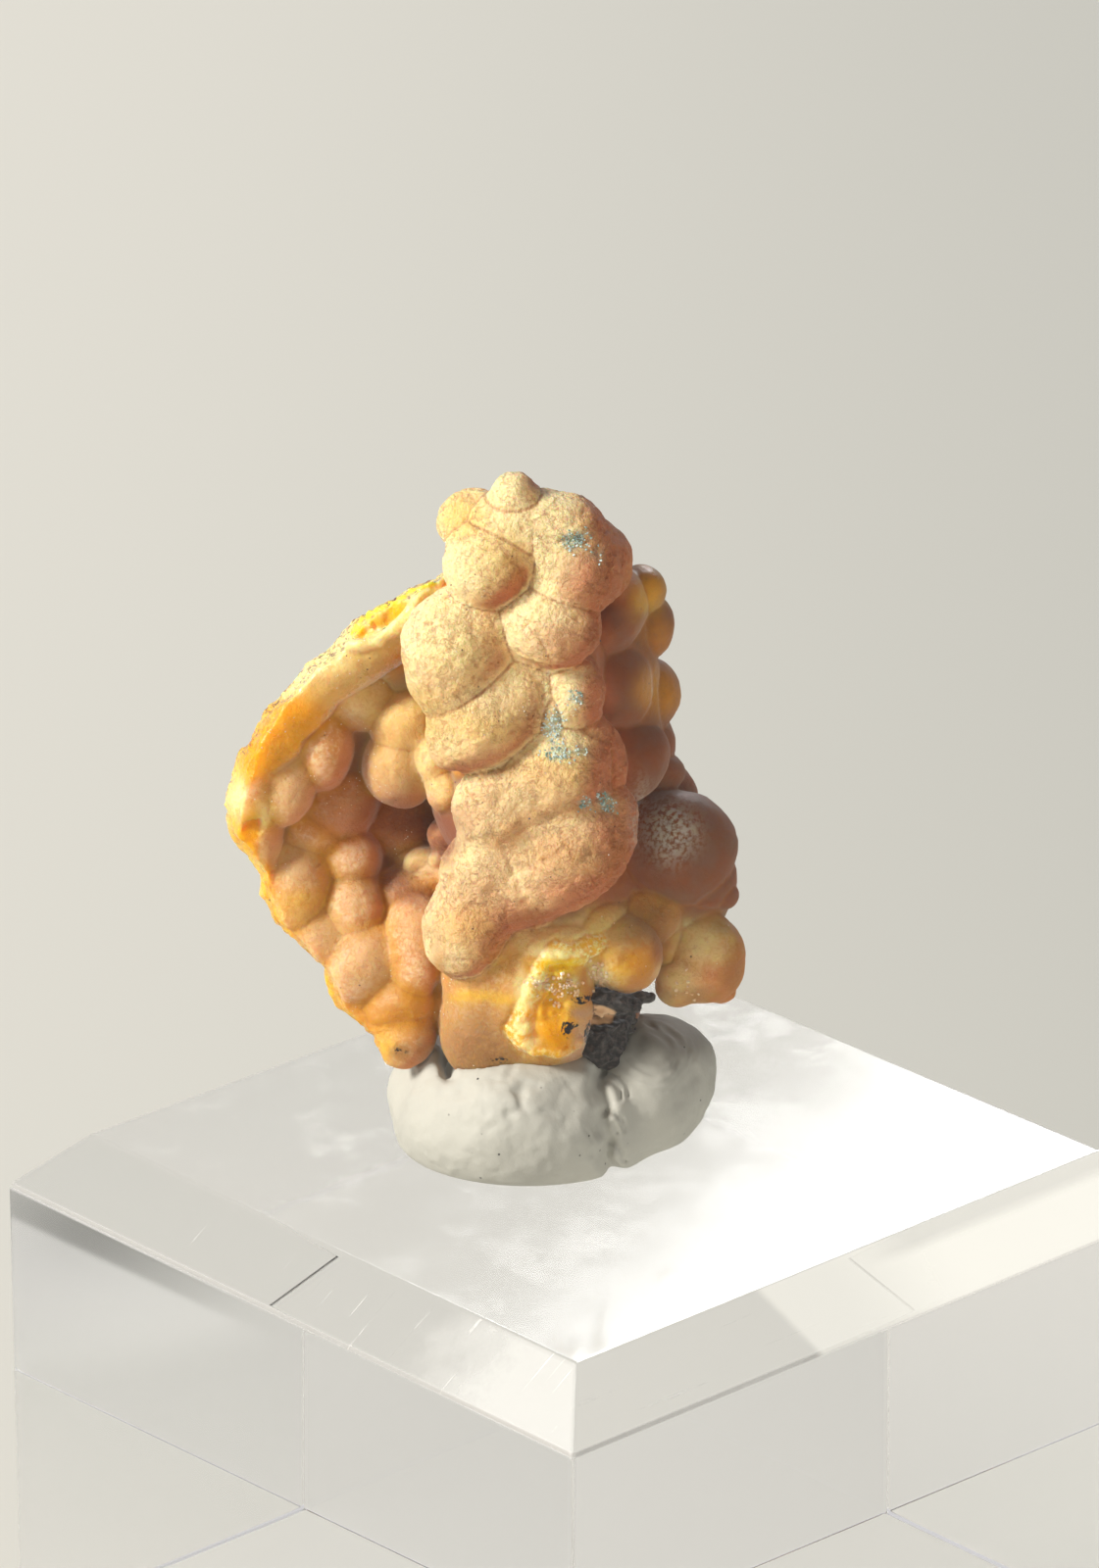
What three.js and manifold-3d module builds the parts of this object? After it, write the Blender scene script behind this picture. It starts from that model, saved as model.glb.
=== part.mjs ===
// Mimetite specimen: a hollow botryoidal crust on its black oxide matrix, pressed into a lump
// of putty on a bevelled block of clear acrylic. Millimetres, +Z up, the viewer on the -Y side.
// The origin is the centre of the block's underside.

import * as THREE from 'three';
import { SimplifyModifier } from 'three/addons/modifiers/SimplifyModifier.js';
import { mergeVertices } from 'three/addons/utils/BufferGeometryUtils.js';
import Module from 'manifold-3d';

const wasm = await Module();
wasm.setup();

// Display block, a stock size of polished acrylic.
const BLOCK_SIDE = 38.1;
const BLOCK_HEIGHT = 25.4;
const BLOCK_BEVEL_WIDTH = 2.7;
const BLOCK_BEVEL_HEIGHT = 2.6;
const BLOCK_TURN = 42.8;

// The crust is described as an eye sees it from the front, a little from above. Across and up
// are read on a picture plane, from where the centre of the block's top shows on it, and back
// is the distance behind that centre.
const VIEW_ELEVATION = 22.2;
const EYE_DISTANCE = 396;
const EYE_AIM = new THREE.Vector3(-2.06, 0, BLOCK_HEIGHT + 17.64);
const PICTURE_DISTANCE = 394.7;
const AIM_ACROSS = -2.04;
const AIM_UP = 16.0;

const CONTACT_GAP = 0.3;

// Only lumps lower than this above the block can press into the putty or the oxide.
const LOW_PART = 13;

// How far a tool that trims the crust reaches past it, and how far it stands off the rim's top.
const CUTTER_REACH = 60;
const CUTTER_RISE = 10;
const CUTTER_SLOPE = [-3, 2];

const MERGE_DISTANCE = 1e-5;

// Corners that are left on each rounded piece's faceted surface.
const CRUST_CORNERS = 3700;
const PUTTY_CORNERS = 450;
const OXIDE_CORNERS = 250;

const elevation = THREE.MathUtils.degToRad(VIEW_ELEVATION);
const sightLine = new THREE.Vector3(0, Math.cos(elevation), -Math.sin(elevation));
const pictureUp = new THREE.Vector3(0, Math.sin(elevation), Math.cos(elevation));
const eye = EYE_AIM.clone().addScaledVector(sightLine, -EYE_DISTANCE);

// Place of a point that is seen at (across, up) and lies `back` mm behind the block's centre.
function seen(across, up, back) {
  const ray = sightLine.clone().multiplyScalar(PICTURE_DISTANCE);
  ray.x += across - AIM_ACROSS;
  ray.addScaledVector(pictureUp, up - AIM_UP);
  return eye.clone().addScaledVector(ray, (back - eye.y) / ray.y);
}

// A closed geometry as a solid.
function solidOf(geometry) {
  const bare = geometry.index ? geometry.toNonIndexed() : geometry.clone();
  bare.deleteAttribute('normal');
  bare.deleteAttribute('uv');
  const merged = mergeVertices(bare, MERGE_DISTANCE);
  const mesh = new wasm.Mesh({
    numProp: 3,
    vertProperties: new Float32Array(merged.attributes.position.array),
    triVerts: new Uint32Array(merged.index.array),
  });
  return new wasm.Manifold(mesh);
}

// A solid as a geometry again.
function geometryOf(solid) {
  const mesh = solid.getMesh();
  const geometry = new THREE.BufferGeometry();
  geometry.setAttribute('position', new THREE.BufferAttribute(new Float32Array(mesh.vertProperties), 3));
  geometry.setIndex(new THREE.BufferAttribute(new Uint32Array(mesh.triVerts), 1));
  geometry.computeVertexNormals();
  return geometry;
}

// The same shape with its slivers merged away, down to about `corners` corners.
async function thinned(geometry, corners) {
  const bare = geometry.clone();
  bare.deleteAttribute('normal');
  const surplus = bare.attributes.position.count - corners;
  const thin = await new SimplifyModifier().modify(bare, surplus);
  thin.computeVertexNormals();
  return thin;
}

function joined(solids) {
  let whole = solids[0];
  for (const solid of solids.slice(1)) {
    whole = whole.add(solid);
  }
  return whole;
}

// A ball of radius 1, with fewer facets on a lump smaller than 1 mm.
function roundBall(size) {
  const detail = size < 1 ? 2 : 3;
  return new THREE.IcosahedronGeometry(1, detail);
}

// One rounded form that the front view doesn't show. Rows read: across, back and height above
// the block, half width, half depth, half height, and a turn about the vertical that brings
// its left end forward.
function hiddenForm(row, grow = 0) {
  const [across, back, height, wide, deep, high, turn = 0] = row;
  const ball = roundBall(Math.max(wide, high));
  ball.scale(wide + grow, deep + grow, high + grow);
  ball.rotateZ(THREE.MathUtils.degToRad(turn));
  ball.translate(across, back, BLOCK_HEIGHT + height);
  return solidOf(ball);
}

// One rounded lump. Rows read: across, up, back, half width, half height, half depth, roll in
// degrees anticlockwise as seen. `grow` fattens it, for the dent that it leaves in a neighbour.
function lump(row, grow = 0) {
  const [across, up, back, wide, high, deep, roll = 0] = row;
  const ball = roundBall(Math.max(wide, high));
  ball.scale(wide + grow, high + grow, deep + grow);
  ball.rotateZ(THREE.MathUtils.degToRad(roll));
  ball.rotateX(Math.PI / 2 - elevation);
  const centre = seen(across, up, back);
  ball.translate(centre.x, centre.y, centre.z);
  return solidOf(ball);
}

// The tall column of large matte lumps in front.
const COLUMN = [
  [-3.60, 28.90, -0.3, 1.15, 1.25, 1.2],
  [-5.70, 28.00, 0.7, 1.45, 1.25, 1.2, 20],
  [-3.70, 27.50, -0.1, 2.00, 1.70, 1.7],
  [-1.55, 27.40, -0.1, 1.90, 1.75, 1.8],
  [-4.80, 25.85, -0.7, 1.95, 2.00, 1.9],
  [-0.85, 25.60, -0.5, 2.05, 1.95, 1.9],
  [0.55, 26.10, 0.9, 1.20, 1.30, 1.4],
  [-1.95, 23.00, -1.3, 2.25, 1.80, 1.9, -8],
  [-6.15, 21.85, -1.0, 2.50, 3.10, 2.4, -12],
  [-4.75, 19.25, -1.5, 3.15, 2.25, 2.2, 35],
  [-0.95, 20.10, -0.9, 1.40, 1.70, 1.6],
  [-2.15, 19.30, -1.7, 0.90, 0.90, 0.8],
  [-0.60, 18.20, -1.2, 1.20, 0.90, 1.1],
  [0.55, 17.10, -0.9, 0.90, 1.40, 1.1],
  [-1.75, 16.50, -2.0, 2.55, 2.00, 2.1, 22],
  [-4.55, 15.00, -2.0, 2.10, 2.00, 2.1, 20],
  [0.60, 15.10, -1.4, 1.10, 1.10, 1.2],
  [-1.20, 12.95, -2.1, 3.15, 2.50, 2.4, 30],
  [-5.00, 12.20, -2.0, 2.10, 1.85, 2.0],
  [-5.45, 9.90, -2.0, 2.35, 2.60, 2.3, -8],
];

// The yellower foot, the broken bubble beside it and the lumps that overhang to the right.
const FOOT = [
  [-3.50, 7.95, -1.2, 3.50, 2.50, 2.3, 22],
  [-4.55, 4.90, -1.1, 2.45, 2.35, 2.2],
  [-1.95, 6.05, -2.1, 1.95, 2.60, 1.7, -8],
  [-1.50, 4.60, -0.5, 1.60, 1.50, 1.8],
  [1.25, 8.40, -0.6, 1.90, 1.95, 1.9],
  [3.90, 7.20, 0.3, 1.20, 1.20, 1.2],
  [4.95, 8.35, 1.0, 1.85, 2.05, 1.8],
  [2.40, 10.10, 0.7, 1.60, 1.30, 1.6],
  [0.00, 9.80, -0.3, 1.60, 1.30, 1.5],
  [3.20, 9.20, 1.3, 1.40, 1.60, 1.5],
];

// The shaded right flank: one large lump and the small ones along the broken back edge.
const FLANK = [
  [3.70, 13.10, 1.8, 2.70, 2.70, 2.4],
  [4.70, 11.80, 1.8, 1.70, 1.60, 1.7],
  [5.90, 11.05, 1.4, 0.60, 0.65, 0.7],
  [1.95, 24.60, 3.1, 1.15, 1.20, 1.3],
  [2.35, 22.95, 3.4, 1.30, 1.45, 1.4],
  [2.30, 20.05, 3.6, 1.43, 1.55, 1.5],
  [2.35, 18.05, 3.5, 1.15, 1.15, 1.3],
  [2.85, 16.60, 3.2, 1.05, 1.05, 1.2],
  [0.80, 23.80, 2.0, 1.50, 2.10, 1.8],
  [1.00, 20.60, 2.0, 1.70, 2.30, 2.0],
  [1.40, 17.20, 1.7, 1.90, 2.10, 1.9],
];

// Lumps along the broken rim of the cup, from its top down to the hanging tip.
const RIM = [
  [-7.40, 23.90, 1.8, 1.90, 1.50, 1.4, 32],
  [-9.20, 22.90, 1.7, 2.00, 1.45, 1.3, 34],
  [-11.20, 21.60, 1.7, 2.00, 1.45, 1.3, 40],
  [-13.00, 19.90, 1.5, 2.00, 1.40, 1.3, 48],
  [-14.60, 18.10, 1.3, 2.00, 1.35, 1.2, 55],
  [-15.70, 16.10, 1.1, 1.50, 1.80, 1.2],
  [-15.60, 14.00, 1.0, 1.50, 1.70, 1.2],
  [-14.90, 12.40, 1.5, 1.20, 1.70, 1.2, 25],
  [-10.30, 5.90, 0.3, 1.50, 1.60, 1.4, 35],
  [-8.55, 4.95, -0.6, 1.45, 1.80, 1.3],
];

// Lumps on the floor of the cup, and the lit ones where it meets the column.
const CUP = [
  [-10.50, 19.95, 2.8, 1.70, 1.60, 1.6],
  [-12.20, 17.70, 2.1, 1.45, 1.90, 1.5],
  [-13.80, 16.00, 1.4, 1.35, 1.90, 1.4],
  [-11.50, 15.20, 2.8, 1.90, 1.90, 1.8],
  [-9.20, 14.40, 4.3, 2.10, 2.00, 1.8],
  [-9.40, 17.60, 4.2, 2.00, 2.10, 1.8],
  [-8.30, 18.75, 2.3, 1.70, 1.75, 1.8],
  [-8.70, 16.75, 2.0, 1.65, 1.75, 1.8],
  [-7.15, 17.20, 0.8, 0.75, 0.95, 1.0],
  [-6.70, 15.90, 0.5, 0.75, 1.00, 1.0],
  [-6.70, 13.80, 2.2, 0.95, 0.95, 1.1],
  [-8.00, 12.45, 3.2, 1.15, 1.05, 1.2],
  [-7.20, 12.00, 2.5, 1.25, 1.25, 1.3],
  [-8.50, 10.80, 2.3, 1.70, 1.60, 1.6],
  [-13.45, 11.60, 1.5, 1.70, 2.20, 1.6],
  [-12.60, 13.90, 2.4, 1.60, 1.50, 1.5],
  [-10.90, 12.30, 2.1, 1.60, 1.80, 1.7],
  [-12.20, 9.30, 1.4, 1.80, 1.80, 1.6],
  [-10.90, 10.10, 1.5, 1.70, 2.00, 1.7],
  [-10.40, 8.05, 0.8, 1.95, 2.00, 1.8],
  [-8.05, 8.60, 0.2, 1.50, 2.45, 1.8],
  [-8.70, 6.50, -0.1, 1.85, 1.70, 1.6],
  [-7.10, 6.60, 0.5, 1.20, 1.70, 1.4],
];

// The solid middle that all of them grew from, and the thin wall behind the cup.
const MIDDLE = [
  [-3.20, 1.60, 27.2, 2.80, 2.60, 3.0],
  [-3.20, 1.80, 22.5, 4.00, 3.40, 4.5],
  [-3.00, 2.00, 16.5, 4.40, 3.80, 4.8],
  [-2.40, 2.00, 11.0, 4.60, 4.00, 4.8],
  [-2.00, 1.60, 6.6, 4.20, 3.40, 3.4],
  [0.60, 3.00, 20.5, 2.40, 2.40, 6.5],
  [3.00, 2.60, 12.0, 3.40, 2.60, 4.0],
  [-7.60, 5.20, 15.5, 4.60, 1.60, 8.0, 8],
  [-9.40, 4.00, 20.4, 5.00, 1.20, 4.8, 27],
  [-11.60, 3.80, 14.0, 5.80, 1.10, 6.4, 30],
  [-9.80, 3.00, 8.8, 3.80, 1.30, 4.2, 26],
  [-7.20, 3.40, 23.0, 3.00, 1.40, 3.2, 20],
];

// The lumps of the back.
const BACK = [
  [-3.60, 3.60, 28.4, 1.50, 1.40, 1.6],
  [-1.20, 3.30, 27.0, 1.90, 1.70, 2.0],
  [-5.60, 3.20, 25.6, 1.80, 1.70, 1.8],
  [-3.00, 4.30, 24.6, 2.20, 1.70, 1.9],
  [0.40, 4.30, 23.2, 1.70, 1.60, 1.9],
  [-5.70, 4.40, 21.6, 1.90, 1.60, 2.2],
  [-1.40, 5.00, 20.6, 2.40, 1.80, 2.2],
  [1.80, 4.60, 18.4, 1.50, 1.40, 1.5],
  [-4.60, 5.30, 17.8, 2.00, 1.60, 1.9],
  [-0.40, 5.40, 16.6, 1.90, 1.60, 1.8],
  [2.60, 4.60, 14.8, 2.20, 1.70, 2.2],
  [-7.60, 5.60, 18.6, 1.80, 1.40, 2.0],
  [-3.00, 5.50, 14.2, 2.50, 1.80, 2.1],
  [-6.90, 6.00, 14.6, 1.90, 1.40, 1.8],
  [0.70, 5.60, 12.4, 2.00, 1.60, 1.9],
  [4.00, 4.20, 10.8, 1.90, 1.60, 1.8],
  [-5.60, 5.40, 10.8, 2.20, 1.60, 2.3],
  [-1.80, 5.40, 9.4, 1.90, 1.70, 1.8],
  [1.90, 4.80, 8.8, 2.00, 1.60, 1.9],
  [4.60, 3.60, 13.2, 1.60, 1.50, 1.7],
  [-8.60, 5.40, 11.0, 1.80, 1.40, 1.8],
  [-3.40, 4.20, 6.6, 2.00, 1.60, 1.7],
  [0.00, 4.00, 5.8, 1.80, 1.60, 1.6],
  [-8.20, 4.40, 22.4, 1.70, 1.20, 1.7],
  [-10.80, 4.80, 19.6, 1.90, 1.10, 1.9],
  [-12.90, 4.00, 16.6, 1.70, 1.00, 2.1],
  [-15.00, 2.70, 14.6, 1.70, 0.90, 1.7],
  [-11.20, 5.20, 13.2, 2.10, 1.10, 2.2],
  [-13.60, 3.60, 11.0, 1.70, 1.00, 1.7],
  [-10.80, 4.20, 8.4, 1.90, 1.20, 1.8],
];

// Broken bubbles: hollows knocked into the rim, the foot and the ring beside the oxide.
const HOLLOWS = [
  [-15.55, 13.75, -0.4, 0.75, 1.05, 0.9],
  [-9.60, 23.40, 0.3, 0.90, 0.40, 0.7, 32],
  [-7.60, 24.60, 0.5, 0.60, 0.40, 0.6, 35],
  [-1.60, 6.80, -4.0, 1.25, 1.35, 1.2, -20],
];

// The silhouette of the cup's broken rim, as seen, from its top down to the tip.
const RIM_LINE = [
  [-6.70, 25.60],
  [-8.90, 24.25],
  [-10.70, 23.20],
  [-13.00, 21.00],
  [-14.50, 19.30],
  [-16.15, 17.20],
  [-16.70, 15.20],
  [-16.35, 13.80],
  [-15.00, 12.00],
  [-14.20, 9.90],
  [-12.20, 7.90],
  [-11.40, 6.05],
  [-10.10, 4.70],
  [-9.50, 3.15],
];

// A flat outline, as seen from the front, drawn out along the lines of sight.
function seenPrism(outline) {
  const shape = new THREE.Shape(outline.map(([across, up]) => new THREE.Vector2(across, up)));
  const prism = new THREE.ExtrudeGeometry(shape, { depth: CUTTER_REACH, bevelEnabled: false });
  const corners = prism.attributes.position;
  for (let i = 0; i < corners.count; i += 1) {
    const back = CUTTER_REACH / 2 - corners.getZ(i);
    const corner = seen(corners.getX(i), corners.getY(i), back);
    corners.setXYZ(i, corner.x, corner.y, corner.z);
  }
  return solidOf(prism);
}

// All that lies outside the cup's rim, which is broken off along it.
function beyondRim() {
  const [topAcross, topUp] = RIM_LINE[0];
  const [tipAcross] = RIM_LINE[RIM_LINE.length - 1];
  const far = -CUTTER_REACH / 2;
  const beside = [[tipAcross, 0], [far, 0], [far, topUp + CUTTER_RISE]];
  const above = [topAcross + CUTTER_SLOPE[0], topUp + CUTTER_SLOPE[1]];
  return seenPrism([...RIM_LINE, ...beside, above]);
}

// The crust, all one growth.
function mimetiteCrust() {
  const seenLumps = [...COLUMN, ...FOOT, ...FLANK, ...RIM, ...CUP].map((row) => lump(row));
  const hiddenForms = [...MIDDLE, ...BACK].map((row) => hiddenForm(row));
  const whole = joined([...hiddenForms, ...seenLumps]).subtract(beyondRim());
  return HOLLOWS.reduce((solid, row) => solid.subtract(lump(row)), whole);
}

// The low part of the crust grown by the gap: what it presses out of its neighbours.
function crustDent() {
  const seenLow = [...COLUMN, ...FOOT, ...RIM, ...CUP].filter(([, up]) => up < LOW_PART);
  const hiddenLow = [...MIDDLE, ...BACK].filter(([, , height]) => height < LOW_PART);
  const seenDents = seenLow.map((row) => lump(row, CONTACT_GAP));
  const hiddenDents = hiddenLow.map((row) => hiddenForm(row, CONTACT_GAP));
  return joined([...seenDents, ...hiddenDents]);
}

// The remnant of black oxide under the foot, which runs down into the putty.
const OXIDE = [
  [0.55, 6.25, -1.4, 2.15, 0.66, 1.8, -4],
  [0.30, 4.70, -1.0, 1.25, 1.60, 1.6, 12],
  [1.15, 5.50, -0.2, 0.90, 1.30, 1.4],
  [-0.85, 4.95, -2.4, 0.85, 0.50, 1.0, 28],
];

function oxideLumps(grow) {
  return joined(OXIDE.map((row) => lump(row, grow)));
}

// The lump of putty: rows as for the crust.
const PUTTY = [
  [-3.00, 1.00, -0.1, 6.10, 3.90, 6.0],
  [2.15, 2.10, 1.0, 3.30, 3.80, 4.9],
  [-7.00, 2.40, 1.8, 2.35, 2.40, 3.0],
  [-1.80, 3.20, 4.0, 5.00, 3.00, 3.8],
];

function puttyLump(dent) {
  const heap = joined(PUTTY.map((row) => lump(row)));
  const floor = new THREE.BoxGeometry(CUTTER_REACH, CUTTER_REACH, BLOCK_HEIGHT);
  floor.translate(0, 0, BLOCK_HEIGHT / 2);
  return heap.subtract(solidOf(floor)).subtract(dent).subtract(oxideLumps(CONTACT_GAP));
}

// The block: a square profile turned in four steps, with a bevel all round its top.
function displayBlock() {
  const corner = BLOCK_SIDE / Math.SQRT2;
  const bevelCorner = (BLOCK_SIDE - 2 * BLOCK_BEVEL_WIDTH) / Math.SQRT2;
  const profile = [
    new THREE.Vector2(0, 0),
    new THREE.Vector2(corner, 0),
    new THREE.Vector2(corner, BLOCK_HEIGHT - BLOCK_BEVEL_HEIGHT),
    new THREE.Vector2(bevelCorner, BLOCK_HEIGHT),
    new THREE.Vector2(0, BLOCK_HEIGHT),
  ];
  const block = new THREE.LatheGeometry(profile, 4);
  block.rotateX(Math.PI / 2);
  block.rotateZ(Math.PI / 4);
  return geometryOf(solidOf(block));
}

function named(name, geometry, material) {
  const mesh = new THREE.Mesh(geometry, material);
  mesh.name = name;
  return mesh;
}

const mimetite = new THREE.MeshStandardMaterial({ color: 0xd9a463, roughness: 0.55, metalness: 0 });
const oxide = new THREE.MeshStandardMaterial({ color: 0x26262a, roughness: 0.7, metalness: 0 });
const greyPutty = new THREE.MeshStandardMaterial({ color: 0xcdc9bb, roughness: 0.75, metalness: 0 });
const acrylic = new THREE.MeshStandardMaterial({
  color: 0xf2f1ec,
  roughness: 0.04,
  metalness: 0,
  transparent: true,
  opacity: 0.3,
});

const specimen = new THREE.Group();
const dent = crustDent();

const block = named('display_block', displayBlock(), acrylic);
block.rotation.z = THREE.MathUtils.degToRad(BLOCK_TURN);
specimen.add(block);

const puttyShape = await thinned(geometryOf(puttyLump(dent)), PUTTY_CORNERS);
specimen.add(named('putty', puttyShape, greyPutty));

const crustShape = await thinned(geometryOf(mimetiteCrust()), CRUST_CORNERS);
specimen.add(named('mimetite_crust', crustShape, mimetite));

const oxideShape = await thinned(geometryOf(oxideLumps(0).subtract(dent)), OXIDE_CORNERS);
specimen.add(named('oxide_matrix', oxideShape, oxide));

export default specimen;
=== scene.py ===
# %% [markdown]
# # A mimetite specimen on its display block
#
# The real thing is a thumbnail mineral specimen: a crust of rounded mimetite lumps that grew
# over black manganese oxide and later broke off it, so that one side is a hollow cup with a
# broken rim. A lump of grey putty holds it on a bevelled block of clear acrylic. This file
# gives it its looks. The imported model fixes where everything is, so it is loaded first.

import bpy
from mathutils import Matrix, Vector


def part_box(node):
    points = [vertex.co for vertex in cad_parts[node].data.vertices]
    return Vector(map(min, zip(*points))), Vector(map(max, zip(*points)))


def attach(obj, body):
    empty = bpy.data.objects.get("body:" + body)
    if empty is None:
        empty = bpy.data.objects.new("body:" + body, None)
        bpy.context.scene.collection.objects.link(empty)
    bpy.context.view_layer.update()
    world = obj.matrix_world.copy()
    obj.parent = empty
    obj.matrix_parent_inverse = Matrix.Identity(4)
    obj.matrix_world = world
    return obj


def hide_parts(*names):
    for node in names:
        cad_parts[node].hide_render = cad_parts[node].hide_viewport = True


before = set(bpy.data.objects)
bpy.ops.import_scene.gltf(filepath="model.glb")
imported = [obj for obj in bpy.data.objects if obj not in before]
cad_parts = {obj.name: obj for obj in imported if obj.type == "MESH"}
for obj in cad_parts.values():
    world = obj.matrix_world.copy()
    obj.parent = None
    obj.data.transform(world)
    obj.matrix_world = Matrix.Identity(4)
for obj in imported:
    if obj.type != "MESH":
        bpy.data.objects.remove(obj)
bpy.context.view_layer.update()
print("solids:", sorted(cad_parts))

# %% [markdown]
# ## Millimetres and the line of sight
#
# A thumbnail specimen is easiest to describe in millimetres, so every shape below is worked
# out in them and becomes metres when its mesh is made. Most lumps are placed as the eye sees
# them from the front: so far across, so far up, and so far back behind the middle of the
# block. `seen` turns such a place into a point, and `as_seen` turns points back.

# %% Millimetres and the line of sight
from itertools import product
from math import cos, pi, radians, sin

import bpy
import numpy as np
import openvdb
from mathutils import Vector

MM = 0.001
BLOCK_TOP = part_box("display_block")[1].z / MM
VIEW_ELEVATION = radians(22.2)
EYE_DISTANCE = 396.0
PICTURE_DISTANCE = 394.7
AIM_ACROSS = -2.04
AIM_UP = 16.0
EYE_AIM = np.array((-2.06, 0.0, BLOCK_TOP + 17.64))
RIGHT = np.array((1.0, 0.0, 0.0))
SIGHT_LINE = np.array((0.0, cos(VIEW_ELEVATION), -sin(VIEW_ELEVATION)))
PICTURE_UP = np.array((0.0, sin(VIEW_ELEVATION), cos(VIEW_ELEVATION)))
EYE = EYE_AIM - EYE_DISTANCE * SIGHT_LINE


def seen(across, up, back):
    """The point that shows at (across, up) and lies `back` mm behind the block's centre."""
    ray = PICTURE_DISTANCE * SIGHT_LINE
    ray = ray + (across - AIM_ACROSS) * RIGHT + (up - AIM_UP) * PICTURE_UP
    return EYE + ray * (back - EYE[1]) / ray[1]


def as_seen(points):
    """Where points show: across and up."""
    rays = points - EYE
    nearer = PICTURE_DISTANCE / (rays @ SIGHT_LINE)
    across = AIM_ACROSS + nearer * rays[:, 0]
    up = AIM_UP + nearer * (rays @ PICTURE_UP)
    return across, up


print("the block's top is", round(BLOCK_TOP, 2), "mm up")

# %% [markdown]
# ## The camera
#
# The photograph was taken with a long view from a little above, which keeps the block's
# edges nearly parallel. The lens and the distance below reproduce that.

# %% Place the camera
LENS = 202.5
SENSOR = 36.0

camera_data = bpy.data.cameras.new("camera")
camera_data.lens = LENS
camera_data.sensor_width = SENSOR
camera_data.sensor_fit = "AUTO"
camera_data.clip_start = 0.01
camera = bpy.data.objects.new("camera", camera_data)
camera.location = Vector(EYE) * MM
camera.rotation_euler = (pi / 2 - VIEW_ELEVATION, 0.0, 0.0)
bpy.context.scene.collection.objects.link(camera)
bpy.context.scene.camera = camera
print("the camera is", round(EYE_DISTANCE), "mm from the specimen")

# %% [markdown]
# ## Rounded forms
#
# Botryoidal minerals grow as touching balls, so the crust is described as a list of rounded
# forms. Each row has a place, three half sizes in millimetres and sometimes a roll in
# degrees. The same list made the solid that this crust stands for, so both have one shape.
#
# The tall column of matte lumps stands in front. Its crown, knot and trunk are lumps that
# run softly into each other. The lumps in `APART` keep a sharp crease all round.

# %% The tall column
# Each row: across, up, back, half width, half height, half depth, roll.
CROWN = [
    (-3.7, 27.5, -0.1, 2, 1.6, 1.7),
    (-1.55, 27.4, -0.1, 1.9, 1.7, 1.8),
    (-0.85, 25.6, -0.5, 2.05, 1.95, 1.9),
    (0.55, 26.1, 0.9, 1.2, 1.3, 1.4),
]
KNOT = [
    (-2.15, 19.3, -1.7, 0.9, 0.9, 0.8),
    (-0.6, 18.2, -1.2, 1.2, 0.9, 1.1),
    (0.55, 17.1, -0.9, 0.9, 1.4, 1.1),
]
TRUNK = [
    (-1.75, 16.5, -2, 2.55, 2, 2.1, 22),
    (-4.4, 15, -2, 2.05, 2, 2.1, 20),
    (0.6, 15.1, -1.4, 1.1, 1.1, 1.2),
    (-1.2, 12.95, -2.1, 3.15, 2.5, 2.4, 30),
    (-4.9, 12.2, -2, 2.0, 1.85, 2),
    (-3.2, 11.1, -1.9, 1.9, 1.4, 1.9, 25),
    (-5.55, 9.75, -2, 1.95, 2.6, 2.2, -28),
]
APART = [
    (-3.7, 28.95, -0.3, 1.0, 1.15, 1.05),
    (-5.75, 27.95, 0.6, 1.45, 1.15, 1.2, 30),
    (-4.8, 25.85, -0.7, 1.95, 2, 1.9),
    (-1.95, 23, -1.3, 2.25, 1.8, 1.9, -8),
    (-6.15, 21.85, -1, 2.5, 3.1, 2.4, -12),
    (-4.75, 19.25, -1.5, 3.15, 2.25, 2.2, 35),
    (-0.95, 20.1, -0.9, 1.4, 1.7, 1.6),
]
print("lumps of the column:", sum(map(len, (CROWN, KNOT, TRUNK, APART))))

# %% [markdown]
# ## The foot and the flank
#
# Below the column the crust is yellower and waxier. The foot carries the specimen, and a row
# of lumps overhangs to its right. On the right the crust turns away from the sun, and the
# flank's lumps stay in brown shade.

# %% The foot, the overhang and the flank
FOOT = [
    (-3.5, 7.95, -1.2, 3.5, 2.5, 2.3, 22),
    (-4.55, 4.9, -1.1, 2.45, 2.35, 2.2),
    (-1.95, 6.05, -2.1, 1.95, 2.6, 1.7, -8),
    (-1.5, 4.6, -0.5, 1.6, 1.5, 1.8),
    (0, 9.8, -0.3, 1.6, 1.3, 1.5),
    (-1.7, 9.1, -0.9, 1.7, 1.2, 1.6, 15),
]
OVERHANG = [
    (1.35, 8.45, -0.8, 1.75, 1.75, 1.9),
    (2.4, 10.1, 0.7, 1.6, 1.3, 1.6),
    (3.2, 9.2, 1.3, 1.4, 1.6, 1.5),
]
OVERHANG_END = [
    (3.8, 7.05, 0.0, 1.1, 1.1, 1.2),
    (5.1, 8.2, 0.7, 1.75, 2.05, 1.8),
]
FLANK = [
    (3.7, 13.1, 1.8, 2.7, 2.7, 2.4),
    (4.7, 11.8, 1.8, 1.7, 1.6, 1.7),
    (5.9, 11.05, 1.4, 0.6, 0.65, 0.7),
    (1.95, 24.6, 3.1, 1.15, 1.2, 1.3),
    (2.35, 22.95, 3.4, 1.3, 1.45, 1.4),
    (2.3, 20.05, 3.6, 1.43, 1.55, 1.5),
    (2.35, 18.05, 3.5, 1.15, 1.15, 1.3),
    (2.85, 16.6, 3.2, 1.05, 1.05, 1.2),
    (0.8, 23.8, 2, 1.5, 2.1, 1.8),
    (1, 20.6, 2, 1.7, 2.3, 2),
    (1.4, 17.2, 1.7, 1.9, 2.1, 1.9),
]
print("lumps of the foot and the flank:", sum(map(len, (FOOT, OVERHANG, OVERHANG_END, FLANK))))

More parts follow.
